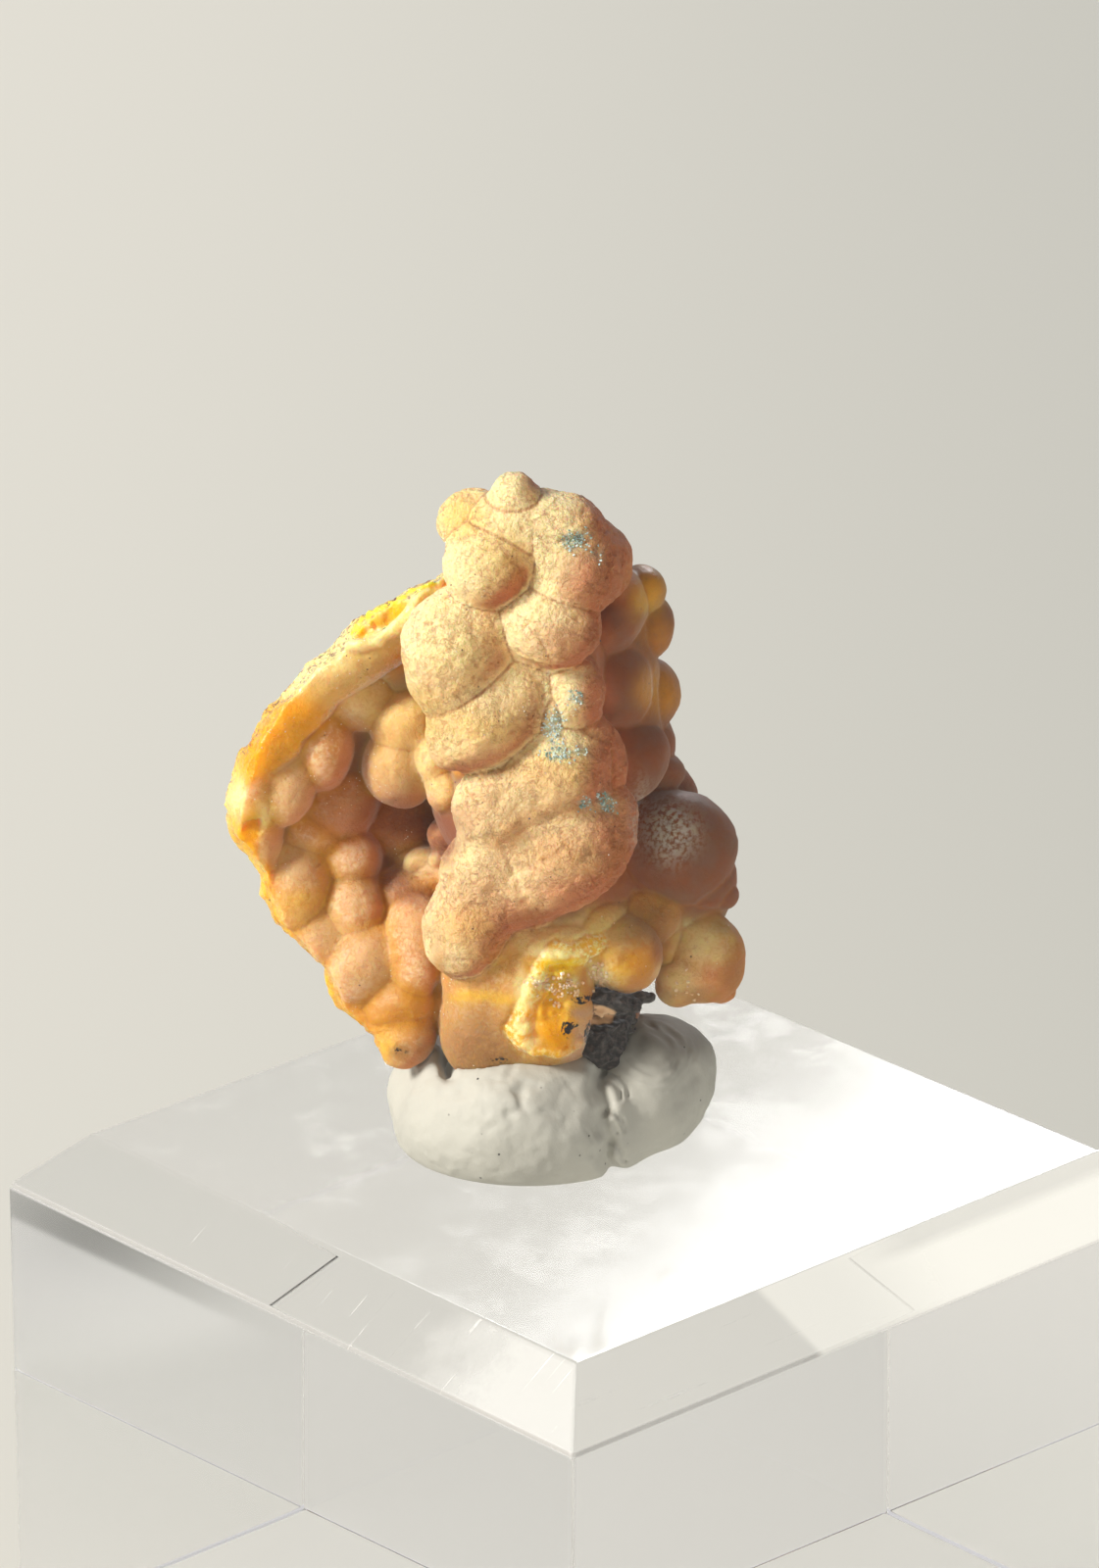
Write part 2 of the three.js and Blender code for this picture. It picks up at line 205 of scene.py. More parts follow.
# %% [markdown]
# ## The cup
#
# On the left the crust is hollow. Its rim runs from the top down to a hanging tip, its floor
# is lined with lumps, and tiny lumps crowd where it meets the column. They are all placed as
# they are seen, because the eye looks straight into the cup.

# %% The cup's rim and floor
RIM = [
    (-7.4, 23.9, 1.8, 1.9, 1.5, 1.4, 32),
    (-9.2, 22.9, 1.7, 2, 1.45, 1.3, 34),
    (-11.2, 21.6, 1.7, 2, 1.45, 1.3, 40),
    (-13, 19.9, 1.5, 2, 1.4, 1.3, 48),
    (-14.6, 18.1, 1.3, 2, 1.35, 1.2, 55),
    (-15.7, 16.1, 1.1, 1.5, 1.8, 1.2),
    (-15.6, 14, 1, 1.5, 1.7, 1.2),
    (-14.9, 12.4, 1.5, 1.2, 1.7, 1.2, 25),
    (-10.3, 5.9, 0.3, 1.5, 1.6, 1.4, 35),
    (-8.55, 4.95, -0.6, 1.45, 1.8, 1.3),
]
CUP = [
    (-10.5, 19.95, 2.8, 1.7, 1.6, 1.6),
    (-12.2, 17.7, 2.1, 1.45, 1.9, 1.5),
    (-13.8, 16, 1.4, 1.35, 1.9, 1.4),
    (-11.5, 15.2, 2.8, 1.9, 1.9, 1.8),
    (-9.2, 14.4, 4.3, 2.1, 2, 1.8),
    (-9.4, 17.6, 4.2, 2, 2.1, 1.8),
    (-8.3, 18.75, 2.3, 1.7, 1.75, 1.8),
    (-8.7, 16.75, 2, 1.65, 1.75, 1.8),
    (-7.15, 17.2, 0.8, 0.75, 0.95, 1),
    (-6.7, 15.9, 0.5, 0.75, 1, 1),
    (-6.7, 13.8, 2.2, 0.95, 0.95, 1.1),
    (-8, 12.45, 3.2, 1.15, 1.05, 1.2),
    (-7.2, 12, 2.5, 1.25, 1.25, 1.3),
    (-8.5, 10.8, 2.3, 1.7, 1.6, 1.6),
    (-13.45, 11.6, 1.5, 1.7, 2.2, 1.6),
    (-12.6, 13.9, 2.4, 1.6, 1.5, 1.5),
    (-10.95, 12.6, 2.1, 1.4, 1.4, 1.5),
    (-12.2, 9.3, 1.4, 1.8, 1.8, 1.6),
    (-10.7, 10.5, 1.4, 1.5, 1.75, 1.6, 10),
    (-10.3, 8.0, 0.3, 1.8, 2.15, 1.8, -25),
    (-8.05, 8.6, 0.2, 1.5, 2.45, 1.8),
    (-8.7, 6.5, -0.1, 1.85, 1.7, 1.6),
    (-7.1, 6.6, 0.5, 1.2, 1.7, 1.4),
]
SMALL_LUMPS = [
    (-5.95, 16.9, 0.0, 0.42, 0.55, 0.5),
    (-6.1, 15.3, 0.3, 0.45, 0.55, 0.5),
    (-7.0, 12.75, 1.7, 0.62, 0.5, 0.6, 30),
    (-7.95, 12.6, 2.2, 0.75, 0.55, 0.6, 35),
    (-6.8, 11.9, 1.5, 0.6, 0.5, 0.6),
    (-7.5, 11.4, 1.8, 0.75, 0.45, 0.5, 20),
    (-8.3, 11.8, 2.3, 0.6, 0.4, 0.5, 30),
    (5.5, 6.85, 0.5, 0.85, 0.65, 0.7),
]
print("lumps of the cup:", sum(map(len, (RIM, CUP, SMALL_LUMPS))))

# %% [markdown]
# ## The hidden side
#
# The photograph doesn't show the middle and the back, so these forms are guessed. They are
# placed over the block, not as seen: large ones fill the middle and the wall behind the cup,
# and smaller lumps cover the back as they cover the front.

# %% The middle and the back
# Each row: across, back, height above the block, half width, half depth, half height, turn.
MIDDLE = [
    (-3.2, 1.6, 27.2, 2.8, 2.6, 3),
    (-3.2, 1.8, 22.5, 4, 3.4, 4.5),
    (-3, 2, 16.5, 4.4, 3.8, 4.8),
    (-2.4, 2, 11, 4.6, 4, 4.8),
    (-2, 1.6, 6.6, 4.2, 3.4, 3.4),
    (0.6, 3, 20.5, 2.4, 2.4, 6.5),
    (3, 2.6, 12, 3.4, 2.6, 4),
    (-7.6, 5.2, 15.5, 4.6, 1.6, 8, 8),
    (-9.4, 4, 20.4, 5, 1.2, 4.8, 27),
    (-11.6, 3.8, 14, 5.8, 1.1, 6.4, 30),
    (-9.8, 3, 8.8, 3.8, 1.3, 4.2, 26),
    (-7.2, 3.4, 23, 3, 1.4, 3.2, 20),
]
BACK = [
    (-3.6, 3.6, 28.4, 1.5, 1.4, 1.6),
    (-1.2, 3.3, 27, 1.9, 1.7, 2),
    (-5.6, 3.2, 25.6, 1.8, 1.7, 1.8),
    (-3, 4.3, 24.6, 2.2, 1.7, 1.9),
    (0.4, 4.3, 23.2, 1.7, 1.6, 1.9),
    (-5.7, 4.4, 21.6, 1.9, 1.6, 2.2),
    (-1.4, 5, 20.6, 2.4, 1.8, 2.2),
    (1.8, 4.6, 18.4, 1.5, 1.4, 1.5),
    (-4.6, 5.3, 17.8, 2, 1.6, 1.9),
    (-0.4, 5.4, 16.6, 1.9, 1.6, 1.8),
    (2.6, 4.6, 14.8, 2.2, 1.7, 2.2),
    (-7.6, 5.6, 18.6, 1.8, 1.4, 2),
    (-3, 5.5, 14.2, 2.5, 1.8, 2.1),
    (-6.9, 6, 14.6, 1.9, 1.4, 1.8),
    (0.7, 5.6, 12.4, 2, 1.6, 1.9),
    (4, 4.2, 10.8, 1.9, 1.6, 1.8),
    (-5.6, 5.4, 10.8, 2.2, 1.6, 2.3),
    (-1.8, 5.4, 9.4, 1.9, 1.7, 1.8),
    (1.9, 4.8, 8.8, 2, 1.6, 1.9),
    (4.6, 3.6, 13.2, 1.6, 1.5, 1.7),
    (-8.6, 5.4, 11, 1.8, 1.4, 1.8),
    (-3.4, 4.2, 6.6, 2, 1.6, 1.7),
    (0, 4, 5.8, 1.8, 1.6, 1.6),
    (-8.2, 4.4, 22.4, 1.7, 1.2, 1.7),
    (-10.8, 4.8, 19.6, 1.9, 1.1, 1.9),
    (-12.9, 4, 16.6, 1.7, 1, 2.1),
    (-15, 2.7, 14.6, 1.7, 0.9, 1.7),
    (-11.2, 5.2, 13.2, 2.1, 1.1, 2.2),
    (-13.6, 3.6, 11, 1.7, 1, 1.7),
    (-10.8, 4.2, 8.4, 1.9, 1.2, 1.8),
]
print("forms of the hidden side:", len(MIDDLE) + len(BACK))

# %% [markdown]
# ## Walls of broken bubbles
#
# Where a hollow ball broke, its thin wall stands up as a line. One such wall rings the bubble
# beside the oxide. Two more run along the bubble in the rim, the inner one paler. Each is a
# string of little balls on the skin, because a wall that grew is never even.

# %% Strings of little balls
# Each row: across, up, radius.
RING_WALL = [
    (0.4, 8.85, 0.34), (-0.2, 8.6, 0.28), (-0.9, 8.45, 0.22), (-1.65, 8.5, 0.30),
    (-2.2, 8.1, 0.26), (-2.55, 7.5, 0.28), (-2.9, 6.9, 0.32), (-3.15, 6.2, 0.28),
    (-3.3, 5.4, 0.30), (-3.3, 4.7, 0.32), (-3.0, 4.15, 0.30), (-2.4, 3.95, 0.22),
    (-1.7, 3.9, 0.24), (-1.05, 4.15, 0.20), (-0.7, 4.6, 0.18),
]
RIM_WALL = [
    (-11.0, 22.25, 0.22), (-10.3, 22.2, 0.25), (-9.6, 22.35, 0.27), (-8.85, 22.95, 0.26),
    (-8.2, 23.65, 0.24), (-7.9, 24.3, 0.22), (-7.4, 24.75, 0.2), (-6.8, 25.25, 0.18),
]
RIM_RIDGE = [
    (-10.8, 22.75, 0.13), (-10.5, 23.15, 0.14), (-9.85, 23.58, 0.15), (-9.0, 24.05, 0.15),
    (-8.2, 24.55, 0.14), (-7.4, 25.0, 0.12),
]
print("points along the walls:", len(RING_WALL) + len(RIM_WALL) + len(RIM_RIDGE))

# %% [markdown]
# ## Clay that can be measured
#
# A sculpted skin could be pushed about by hand, but a crust of fused balls follows a rule.
# Each form gives a distance: negative inside, zero on its skin, positive outside. The lowest
# of all the distances is the whole crust, and a narrow rounding where two forms meet is the
# crease between them. The distances fill a grid, and OpenVDB, the library behind Blender's
# volumes, lays a skin where they cross zero.

# %% Forms and their distances
FAR = 2.0
TINY = 1e-6


def seen_form(row):
    """Centre, half sizes and own axes of a lump that is placed as it is seen."""
    across, up, back, wide, high, deep, *roll = row
    turn = radians(sum(roll))
    axes = np.array((
        cos(turn) * RIGHT + sin(turn) * PICTURE_UP,
        cos(turn) * PICTURE_UP - sin(turn) * RIGHT,
        -SIGHT_LINE,
    ))
    return seen(across, up, back), np.array((wide, high, deep)), axes


def hidden_form(row):
    """The same for a form that is placed by where it stands over the block."""
    across, back, height, wide, deep, high, *turned = row
    turn = radians(sum(turned))
    axes = np.array(((cos(turn), sin(turn), 0.0), (-sin(turn), cos(turn), 0.0), (0.0, 0.0, 1.0)))
    return np.array((across, back, BLOCK_TOP + height)), np.array((wide, deep, high)), axes


def distance_to(form, points):
    """About how far points lie outside a rounded form."""
    centre, half, axes = form
    own = (points - centre) @ axes.T
    near = np.sqrt(((own / half) ** 2).sum(-1))
    slope = np.sqrt(((own / half ** 2) ** 2).sum(-1))
    return near * (near - 1.0) / np.maximum(slope, TINY)


def soft_lower(a, b, width):
    """The lower of two distances, with the crease rounded over `width`."""
    overlap = np.maximum(width - np.abs(a - b), 0.0) / width
    return np.minimum(a, b) - overlap * overlap * width / 4


print("distances count up to", FAR, "mm from a form")

# %% [markdown]
# ## The clay itself
#
# `Clay` holds the distances on a grid. Forms are added or cut, a function can reshape what is
# near the skin, and `skin` gives the corners and faces. Only the part of the grid round a form
# is worked out for it, so a fine grid stays quick.

# %% A grid of distances
SKIN_MARGIN = 0.8
SIGHT_STEPS = np.arange(-8.0, 8.0, 0.05)


class Clay:
    """A block of distances on a grid of points, `voxel` mm apart."""

    def __init__(self, low, high, voxel):
        self.low = np.array(low, float)
        self.voxel = voxel
        self.count = np.ceil((np.array(high) - self.low) / voxel).astype(int) + 1
        self.field = np.full(self.count, FAR, np.float32)

    def window(self, low, high, margin):
        """The part of the grid from `low` to `high`, with a margin: its slices and points."""
        first = np.floor((low - margin - self.low) / self.voxel).astype(int)
        last = np.ceil((high + margin - self.low) / self.voxel).astype(int) + 1
        first = np.clip(first, 0, self.count)
        last = np.clip(last, 0, self.count)
        steps = [self.low[i] + self.voxel * np.arange(first[i], last[i]) for i in range(3)]
        points = np.stack(np.meshgrid(*steps, indexing="ij"), -1)
        return tuple(slice(a, b) for a, b in zip(first, last)), points

    def add(self, forms, fused, crease, sunk=0.0):
        """Adds forms that run together over `fused` mm and meet the rest in a crease."""
        low = np.min([form[0] - form[1].max() for form in forms], 0)
        high = np.max([form[0] + form[1].max() for form in forms], 0)
        where, points = self.window(low, high, fused + crease + 4 * self.voxel)
        near = distance_to(forms[0], points)
        for form in forms[1:]:
            near = soft_lower(near, distance_to(form, points), fused)
        self.field[where] = soft_lower(self.field[where], near + sunk, crease)

    def skin_behind(self, across, up):
        """How far back the skin lies where it shows at (across, up)."""
        points = np.array([seen(across, up, back) for back in SIGHT_STEPS])
        cells = np.rint((points - self.low) / self.voxel).astype(int)
        cells = np.clip(cells, 0, self.count - 1)
        return SIGHT_STEPS[np.argmax(self.field[tuple(cells.T)] < 0.0)]

    def cut(self, form, margin=0.0):
        """Cuts a form out, and `margin` mm more all round it."""
        reach = form[1].max()
        where, points = self.window(form[0] - reach, form[0] + reach, margin + 4 * self.voxel)
        self.field[where] = np.maximum(self.field[where], margin - distance_to(form, points))

    def reshape(self, within, change):
        """Gives the points nearer than `within` the distances that `change` makes of theirs."""
        found = np.argwhere(self.field < within)
        points = self.low + self.voxel * found
        place = tuple(found.T)
        self.field[place] = change(points, self.field[place])

    def skin(self):
        """Corners in millimetres and four-sided faces."""
        grid = openvdb.FloatGrid(FAR)
        grid.copyFromArray(self.field)
        grid.transform = openvdb.createLinearTransform(voxelSize=self.voxel)
        corners, faces = grid.convertToQuads(0.0)
        return corners.astype(float) + self.low, faces


def clay_for(box, voxel):
    """Empty clay that fills a solid's box, and the box's low and high corners in millimetres."""
    low, high = (np.array(corner) / MM for corner in box)
    return Clay(low - SKIN_MARGIN, high + SKIN_MARGIN, voxel), low, high


print("clay reaches", SKIN_MARGIN, "mm past each solid's box")

# %% [markdown]
# ## Unevenness
#
# Nothing that grew is perfectly round. `humps` is smooth random noise of a chosen size, made
# from a small seeded lattice, so every run gives the same stone.

# %% Smooth random humps
LATTICE = 48
TILT = np.linalg.qr(np.random.default_rng(5).normal(size=(3, 3)))[0]


def humps(points, size, seed):
    """Random humps from -1 to 1, about `size` mm across."""
    lattice = np.random.default_rng(seed).uniform(-1.0, 1.0, (LATTICE,) * 3)
    place = points @ TILT / size
    cell = np.floor(place).astype(int)
    part = place - cell
    part = part * part * (3.0 - 2.0 * part)
    total = np.zeros(len(points))
    for corner in product((0, 1), repeat=3):
        share = np.where(np.array(corner) == 1, part, 1.0 - part).prod(1)
        x, y, z = ((cell + corner) % LATTICE).T
        total += share * lattice[x, y, z]
    return total


def smooth_step(start, end, values):
    """0 up to `start`, 1 from `end` on, smooth between."""
    part = np.clip((values - start) / (end - start), 0.0, 1.0)
    return part * part * (3.0 - 2.0 * part)


def rough(points, size, seed, octaves=3):
    """Humps with finer and lower humps on them."""
    total = np.zeros(len(points))
    for octave in range(octaves):
        total += humps(points, size / 2 ** octave, seed + octave) / 2 ** octave
    return total


print("the lattice repeats after", LATTICE, "humps")

# %% [markdown]
# ## No perfect balls
#
# A form's own surface is too regular. Moving every corner by slow humps bends all the lumps a
# little, each in its own way. Near the block the bend fades out, so that the putty stays flat
# on it.

# %% Bend space a little
WARP = 0.20
WARP_SIZE = 2.4
WARP_FREE = 2.5


def warped(points):
    """Points pushed about by slow humps, but not at the block's top."""
    push = np.column_stack([humps(points, WARP_SIZE, seed) for seed in (101, 102, 103)])
    free = smooth_step(BLOCK_TOP, BLOCK_TOP + WARP_FREE, points[:, 2])
    return points + WARP * free[:, None] * push


print("lumps are bent by up to", WARP, "mm")

# %% [markdown]
# ## Broken bubbles
#
# Here and there a ball broke open and left a hollow with a glassy floor. Each hollow is a
# form that is cut out of the clay, placed by how far its middle lies behind the skin.

# %% Broken bubbles
# Each row: across, up, middle behind the skin, half width, half height, half depth, roll.
HOLLOWS = [
    (-15.35, 13.7, -0.06, 0.55, 1.0, 0.26),
    (-9.4, 23.2, 0.0, 1.45, 0.5, 0.5, 36),
    (-10.35, 22.75, 0.0, 0.5, 0.3, 0.6, 20),
    (-7.55, 24.3, 0.0, 0.85, 0.2, 0.5, 55),
    (1.75, 7.95, -0.3, 0.9, 0.95, 0.42),
    (-1.7, 5.6, -0.62, 1.0, 1.4, 0.85, -14),
    (-1.35, 7.95, -0.25, 0.95, 0.4, 0.42),
]
print("broken bubbles:", len(HOLLOWS))

# %% [markdown]
# ## The broken rim
#
# The cup ended where the crust snapped. The break follows the rim's outline as it is seen,
# and it leans, so that its pale yellow section faces the viewer: the nearer a point is, the
# further in the break has eaten. Small humps give it a splintery face.

# %% The break along the cup's rim
# The outline from the rim's top down to the tip: across, up.
RIM_LINE = [
    (-6.7, 25.6),
    (-8.9, 24.25),
    (-10.7, 23.2),
    (-13, 21),
    (-14.5, 19.3),
    (-16.15, 17.2),
    (-16.7, 15.2),
    (-16.35, 13.8),
    (-15, 12),
    (-14.2, 9.9),
    (-12.2, 7.9),
    (-11.4, 6.05),
    (-10.1, 4.7),
    (-9.5, 3.15),
]
RIM_BEYOND = [(-30.0, 35.6), (-9.7, 27.6)]
RIM_BELOW = (-9.5, -4.0)
# How much the break leans: up, mm eaten for each mm nearer than RIM_BACK.
RIM_LEAN = [(24.0, 0.35), (20.0, 0.3), (17.0, 0.35), (15.0, 0.3), (13.0, 0.2), (10.0, 0.1), (3.0, 0.1)]
RIM_BACK = 2.3
MOST_EATEN = 4.0
SLOPE_STEP = 0.5


def within_rim(across, up):
    """How far places, as seen, lie inside the rim's outline, and the outline's slope there."""
    line_across, line_up = np.array([*RIM_BEYOND, *RIM_LINE, RIM_BELOW])[::-1].T
    steps = (0.0, SLOPE_STEP, -SLOPE_STEP)
    edge, above, below = (np.interp(up + step, line_up, line_across) for step in steps)
    steep = np.sqrt(1.0 + (above - below) ** 2)
    return (across - edge) / steep, steep


def beyond_rim(points):
    """How far points lie beyond the broken rim, negative within the crust."""
    across, up = as_seen(points)
    within, steep = within_rim(across, up)
    lean_up, lean = np.array(RIM_LEAN)[::-1].T
    eaten = np.interp(up, lean_up, lean) * np.clip(RIM_BACK - points[:, 1], 0.0, MOST_EATEN)
    splinters = 0.16 * rough(points, 1.3, 31) + 0.05 * np.abs(humps(points, 0.35, 37))
    return eaten / steep - within + splinters


print("the rim's outline has", len(RIM_LINE), "points")

# %% [markdown]
# ## Fine seams
#
# The column has fine creases where no two forms meet. Each is a line through a few points, as
# it is seen, and `far_from` says how far any place is from it.

# %% Seams of the column
SEAMS = [
    [(0.1, 15.4), (-0.7, 15.1), (-1.5, 14.85), (-2.4, 14.35), (-3.3, 14.05), (-4.1, 13.5)],
    [(-4.2, 13.2), (-3.95, 12.5), (-3.75, 11.8), (-3.3, 11.1)],
    [(-6.9, 12.6), (-6.35, 12.2), (-6.4, 11.4), (-6.9, 10.9)],
    [(-2.85, 27.1), (-2.9, 26.2), (-2.75, 25.4), (-2.85, 24.6)],
    [(-2.4, 27.0), (-1.7, 26.85), (-0.9, 27.0), (-0.3, 26.8)],
    [(-6.3, 16.35), (-5.2, 16.25), (-4.5, 16.7), (-3.6, 17.1)],
    [(-3.0, 19.0), (-2.4, 19.5), (-2.35, 20.3), (-2.8, 20.8)],
    [(-2.5, 22.6), (-2.2, 21.9), (-1.9, 21.5)],
    [(-3.9, 23.2), (-3.2, 22.9), (-2.7, 23.4), (-2.3, 23.3)],
]


def far_from(line, across, up):
    """How far places, as seen, lie from a line through the given points."""
    places = np.column_stack((across, up))
    far = np.full(len(places), FAR)
    for start, end in zip(np.array(line)[:-1], np.array(line)[1:]):
        along = np.clip((places - start) @ (end - start) / ((end - start) ** 2).sum(), 0.0, 1.0)
        far = np.minimum(far, np.linalg.norm(places - start - along[:, None] * (end - start), axis=1))
    return far


print("seams:", len(SEAMS))

# %% [markdown]
# ## How the crust grows
#
# `grow` adds a family of forms to the clay and remembers whose they are, because the relief
# and the colours differ from family to family. `grow_wall` strings little balls along a line.

# %% Ways to grow and break
CRUST_VOXEL = 0.105
CREASE = 0.4
COLUMN_FUSED = 1.1
COLUMN_CREASE = 0.5
FILLER_FUSED = 1.5
FILLER_SUNK = 0.28
LEFT_OF_COLUMN = -5.5
WALL_STEPS = 5
WALL_PROUD = 0.17
WALL_FUSED = 0.2
WALL_SEED = 33
MOST_BALLS = 200

clay, crust_low, crust_high = clay_for(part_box("mimetite_crust"), CRUST_VOXEL)
crust_forms = []
families = []
clusters = []


def grow(family, rows, fused=0.0, form_of=seen_form, crease=CREASE):
    """Adds rows to the clay, softly fused, or one by one if `fused` is 0."""
    forms = [form_of(row) for row in rows]
    for group in [forms] if fused else [[form] for form in forms]:
        clay.add(group, fused, crease)
        clusters.extend([len(set(clusters))] * len(group))
    crust_forms.extend(forms)
    families.extend([family] * len(forms))


def break_rim(points, distances):
    """Takes away what lies beyond the broken rim."""
    cut = distances.copy()
    left = points[:, 0] < LEFT_OF_COLUMN
    cut[left] = np.maximum(distances[left], beyond_rim(points[left]))
    return cut


def between_rows(rows, steps):
    """Rows with `steps` steps between each and the next."""
    rows = np.array(rows)
    places = np.linspace(0, len(rows) - 1, steps * (len(rows) - 1) + 1)
    return np.column_stack([np.interp(places, np.arange(len(rows)), column) for column in rows.T])


def grow_wall(family, line, uneven, crease):
    """Grows a string of little balls along a line on the skin."""
    sizes = np.random.default_rng(WALL_SEED).uniform(1.0 - uneven, 1.0 + uneven, MOST_BALLS)
    balls = []
    for (at_across, at_up, radius), size in zip(between_rows(line, WALL_STEPS), sizes):
        radius = radius * size
        middle = clay.skin_behind(at_across, at_up) + radius - WALL_PROUD
        balls.append((at_across, at_up, middle, radius, radius, radius))
    grow(family, balls, WALL_FUSED, crease=crease)


print("the crust's clay has", clay.field.size, "points")

# %% [markdown]
# ## The crust's skin
#
# The hidden middle goes in first, then the back and the cup, which is broken along its rim.
# The flank, the foot and the column grow over that. The broken bubbles are cut last, and
# their walls stand on what is left.

# %% Grow the crust
grow("middle", MIDDLE, 1.0, hidden_form)
grow("back", BACK, form_of=hidden_form)
grow("rim", RIM, 1.2, crease=0.7)
grow("cup", CUP)
clay.reshape(0.6, break_rim)
grow("flank", FLANK)
grow("foot", FOOT, 1.5)
grow("foot", OVERHANG)
grow("foot", OVERHANG_END, 0.5)
for rows in (CROWN, TRUNK, KNOT):
    grow("column", rows, COLUMN_FUSED, crease=COLUMN_CREASE)
grow("column", APART, crease=COLUMN_CREASE)
# A sunken filler keeps the creases of the column shallow, because its lumps are packed tight.
filler = [seen_form(row) for row in CROWN + TRUNK + KNOT + APART]
clay.add(filler, FILLER_FUSED, 0.2, FILLER_SUNK)
grow("small", SMALL_LUMPS, crease=0.25)
hollows = [(*row[:2], clay.skin_behind(*row[:2]) + row[2], *row[3:]) for row in HOLLOWS]
for row in hollows:
    clay.cut(seen_form(row))
grow_wall("ring", RING_WALL, 0.22, 0.25)
grow_wall("rim wall", RIM_WALL, 0.1, 0.15)
grow_wall("rim ridge", RIM_RIDGE, 0.15, 0.12)
crust_points, crust_faces = clay.skin()
print("crust skin:", len(crust_points), "corners from", len(crust_forms), "forms")

# %% [markdown]
# ## From numbers to a mesh
#
# `make_mesh` turns corners in millimetres into an object in metres. Its faces are shaded
# smooth, and named attributes carry what the materials need to know at each corner.

# %% Make an object from corners and faces
def make_mesh(name, corners, faces):
    """An object in metres from corners in millimetres."""
    mesh = bpy.data.meshes.new(name)
    mesh.from_pydata((corners * MM).tolist(), [], faces.tolist())
    mesh.shade_smooth()
    piece = bpy.data.objects.new(name, mesh)
    bpy.context.scene.collection.objects.link(piece)
    return piece


def corners_of(piece):
    """A mesh's corners in millimetres."""
    found = np.empty(3 * len(piece.data.vertices), np.float32)
    piece.data.vertices.foreach_get("co", found)
    return found.reshape(-1, 3).astype(float) / MM


def move_corners(piece, corners):
    """Puts a mesh's corners at places in millimetres."""
    piece.data.vertices.foreach_set("co", (corners * MM).astype(np.float32).ravel())
    piece.data.update()


def normals_of(piece):
    """The direction that each corner faces."""
    found = np.empty(3 * len(piece.data.vertices), np.float32)
    piece.data.vertex_normals.foreach_get("vector", found)
    return found.reshape(-1, 3).astype(float)


def note(piece, name, values):
    """Stores one number for each corner, for the materials to read."""
    attribute = piece.data.attributes.new(name, "FLOAT", "POINT")
    attribute.data.foreach_set("value", np.asarray(values, np.float32))


def baked(piece):
    """The piece with its modifiers applied, as a plain mesh."""
    ready = piece.evaluated_get(bpy.context.evaluated_depsgraph_get())
    mesh = bpy.data.meshes.new_from_object(ready)
    piece.modifiers.clear()
    piece.data = mesh
    return piece


def thin(piece, most):
    """Merges the flattest faces until at most `most` triangles are left."""
    triangles = sum(len(face.vertices) - 2 for face in piece.data.polygons)
    if triangles > most:
        decimate = piece.modifiers.new("thin", "DECIMATE")
        decimate.ratio = most / triangles
        baked(piece)
    return piece


crust = make_mesh("mimetite_crust_dressed", crust_points, crust_faces)
print(crust.name, "has", len(crust.data.polygons), "faces before it is thinned")

# %% [markdown]
# ## Whose skin is it?
#
# The column is matte, the cup is waxy and the flank is brown. So every corner has to know how
# far it is from each family of forms. It also has to know how deep in a crease it lies, which
# is how much nearer the nearest lump is than the next one.

# %% Which lump a corner is on
REACH = 2.0


def nearest_forms(points):
    """How far points are from each family, from the nearest cluster and from the next one."""
    by_family = {family: np.full(len(points), FAR) for family in families}
    first = np.full(len(points), FAR)
    second = np.full(len(points), FAR)
    for cluster in sorted(set(clusters)):
        near = np.full(len(points), FAR)
        members = [number for number, own in enumerate(clusters) if own == cluster]
        for form in [crust_forms[number] for number in members]:
            close = np.flatnonzero(np.linalg.norm(points - form[0], axis=1) < form[1].max() + REACH)
            near[close] = np.minimum(near[close], distance_to(form, points[close]))
        family = families[members[0]]
        by_family[family] = np.minimum(by_family[family], near)
        second = np.where(near < first, first, np.minimum(second, near))
        first = np.minimum(first, near)
    return by_family, first, second


print("clusters of forms:", len(set(clusters)))
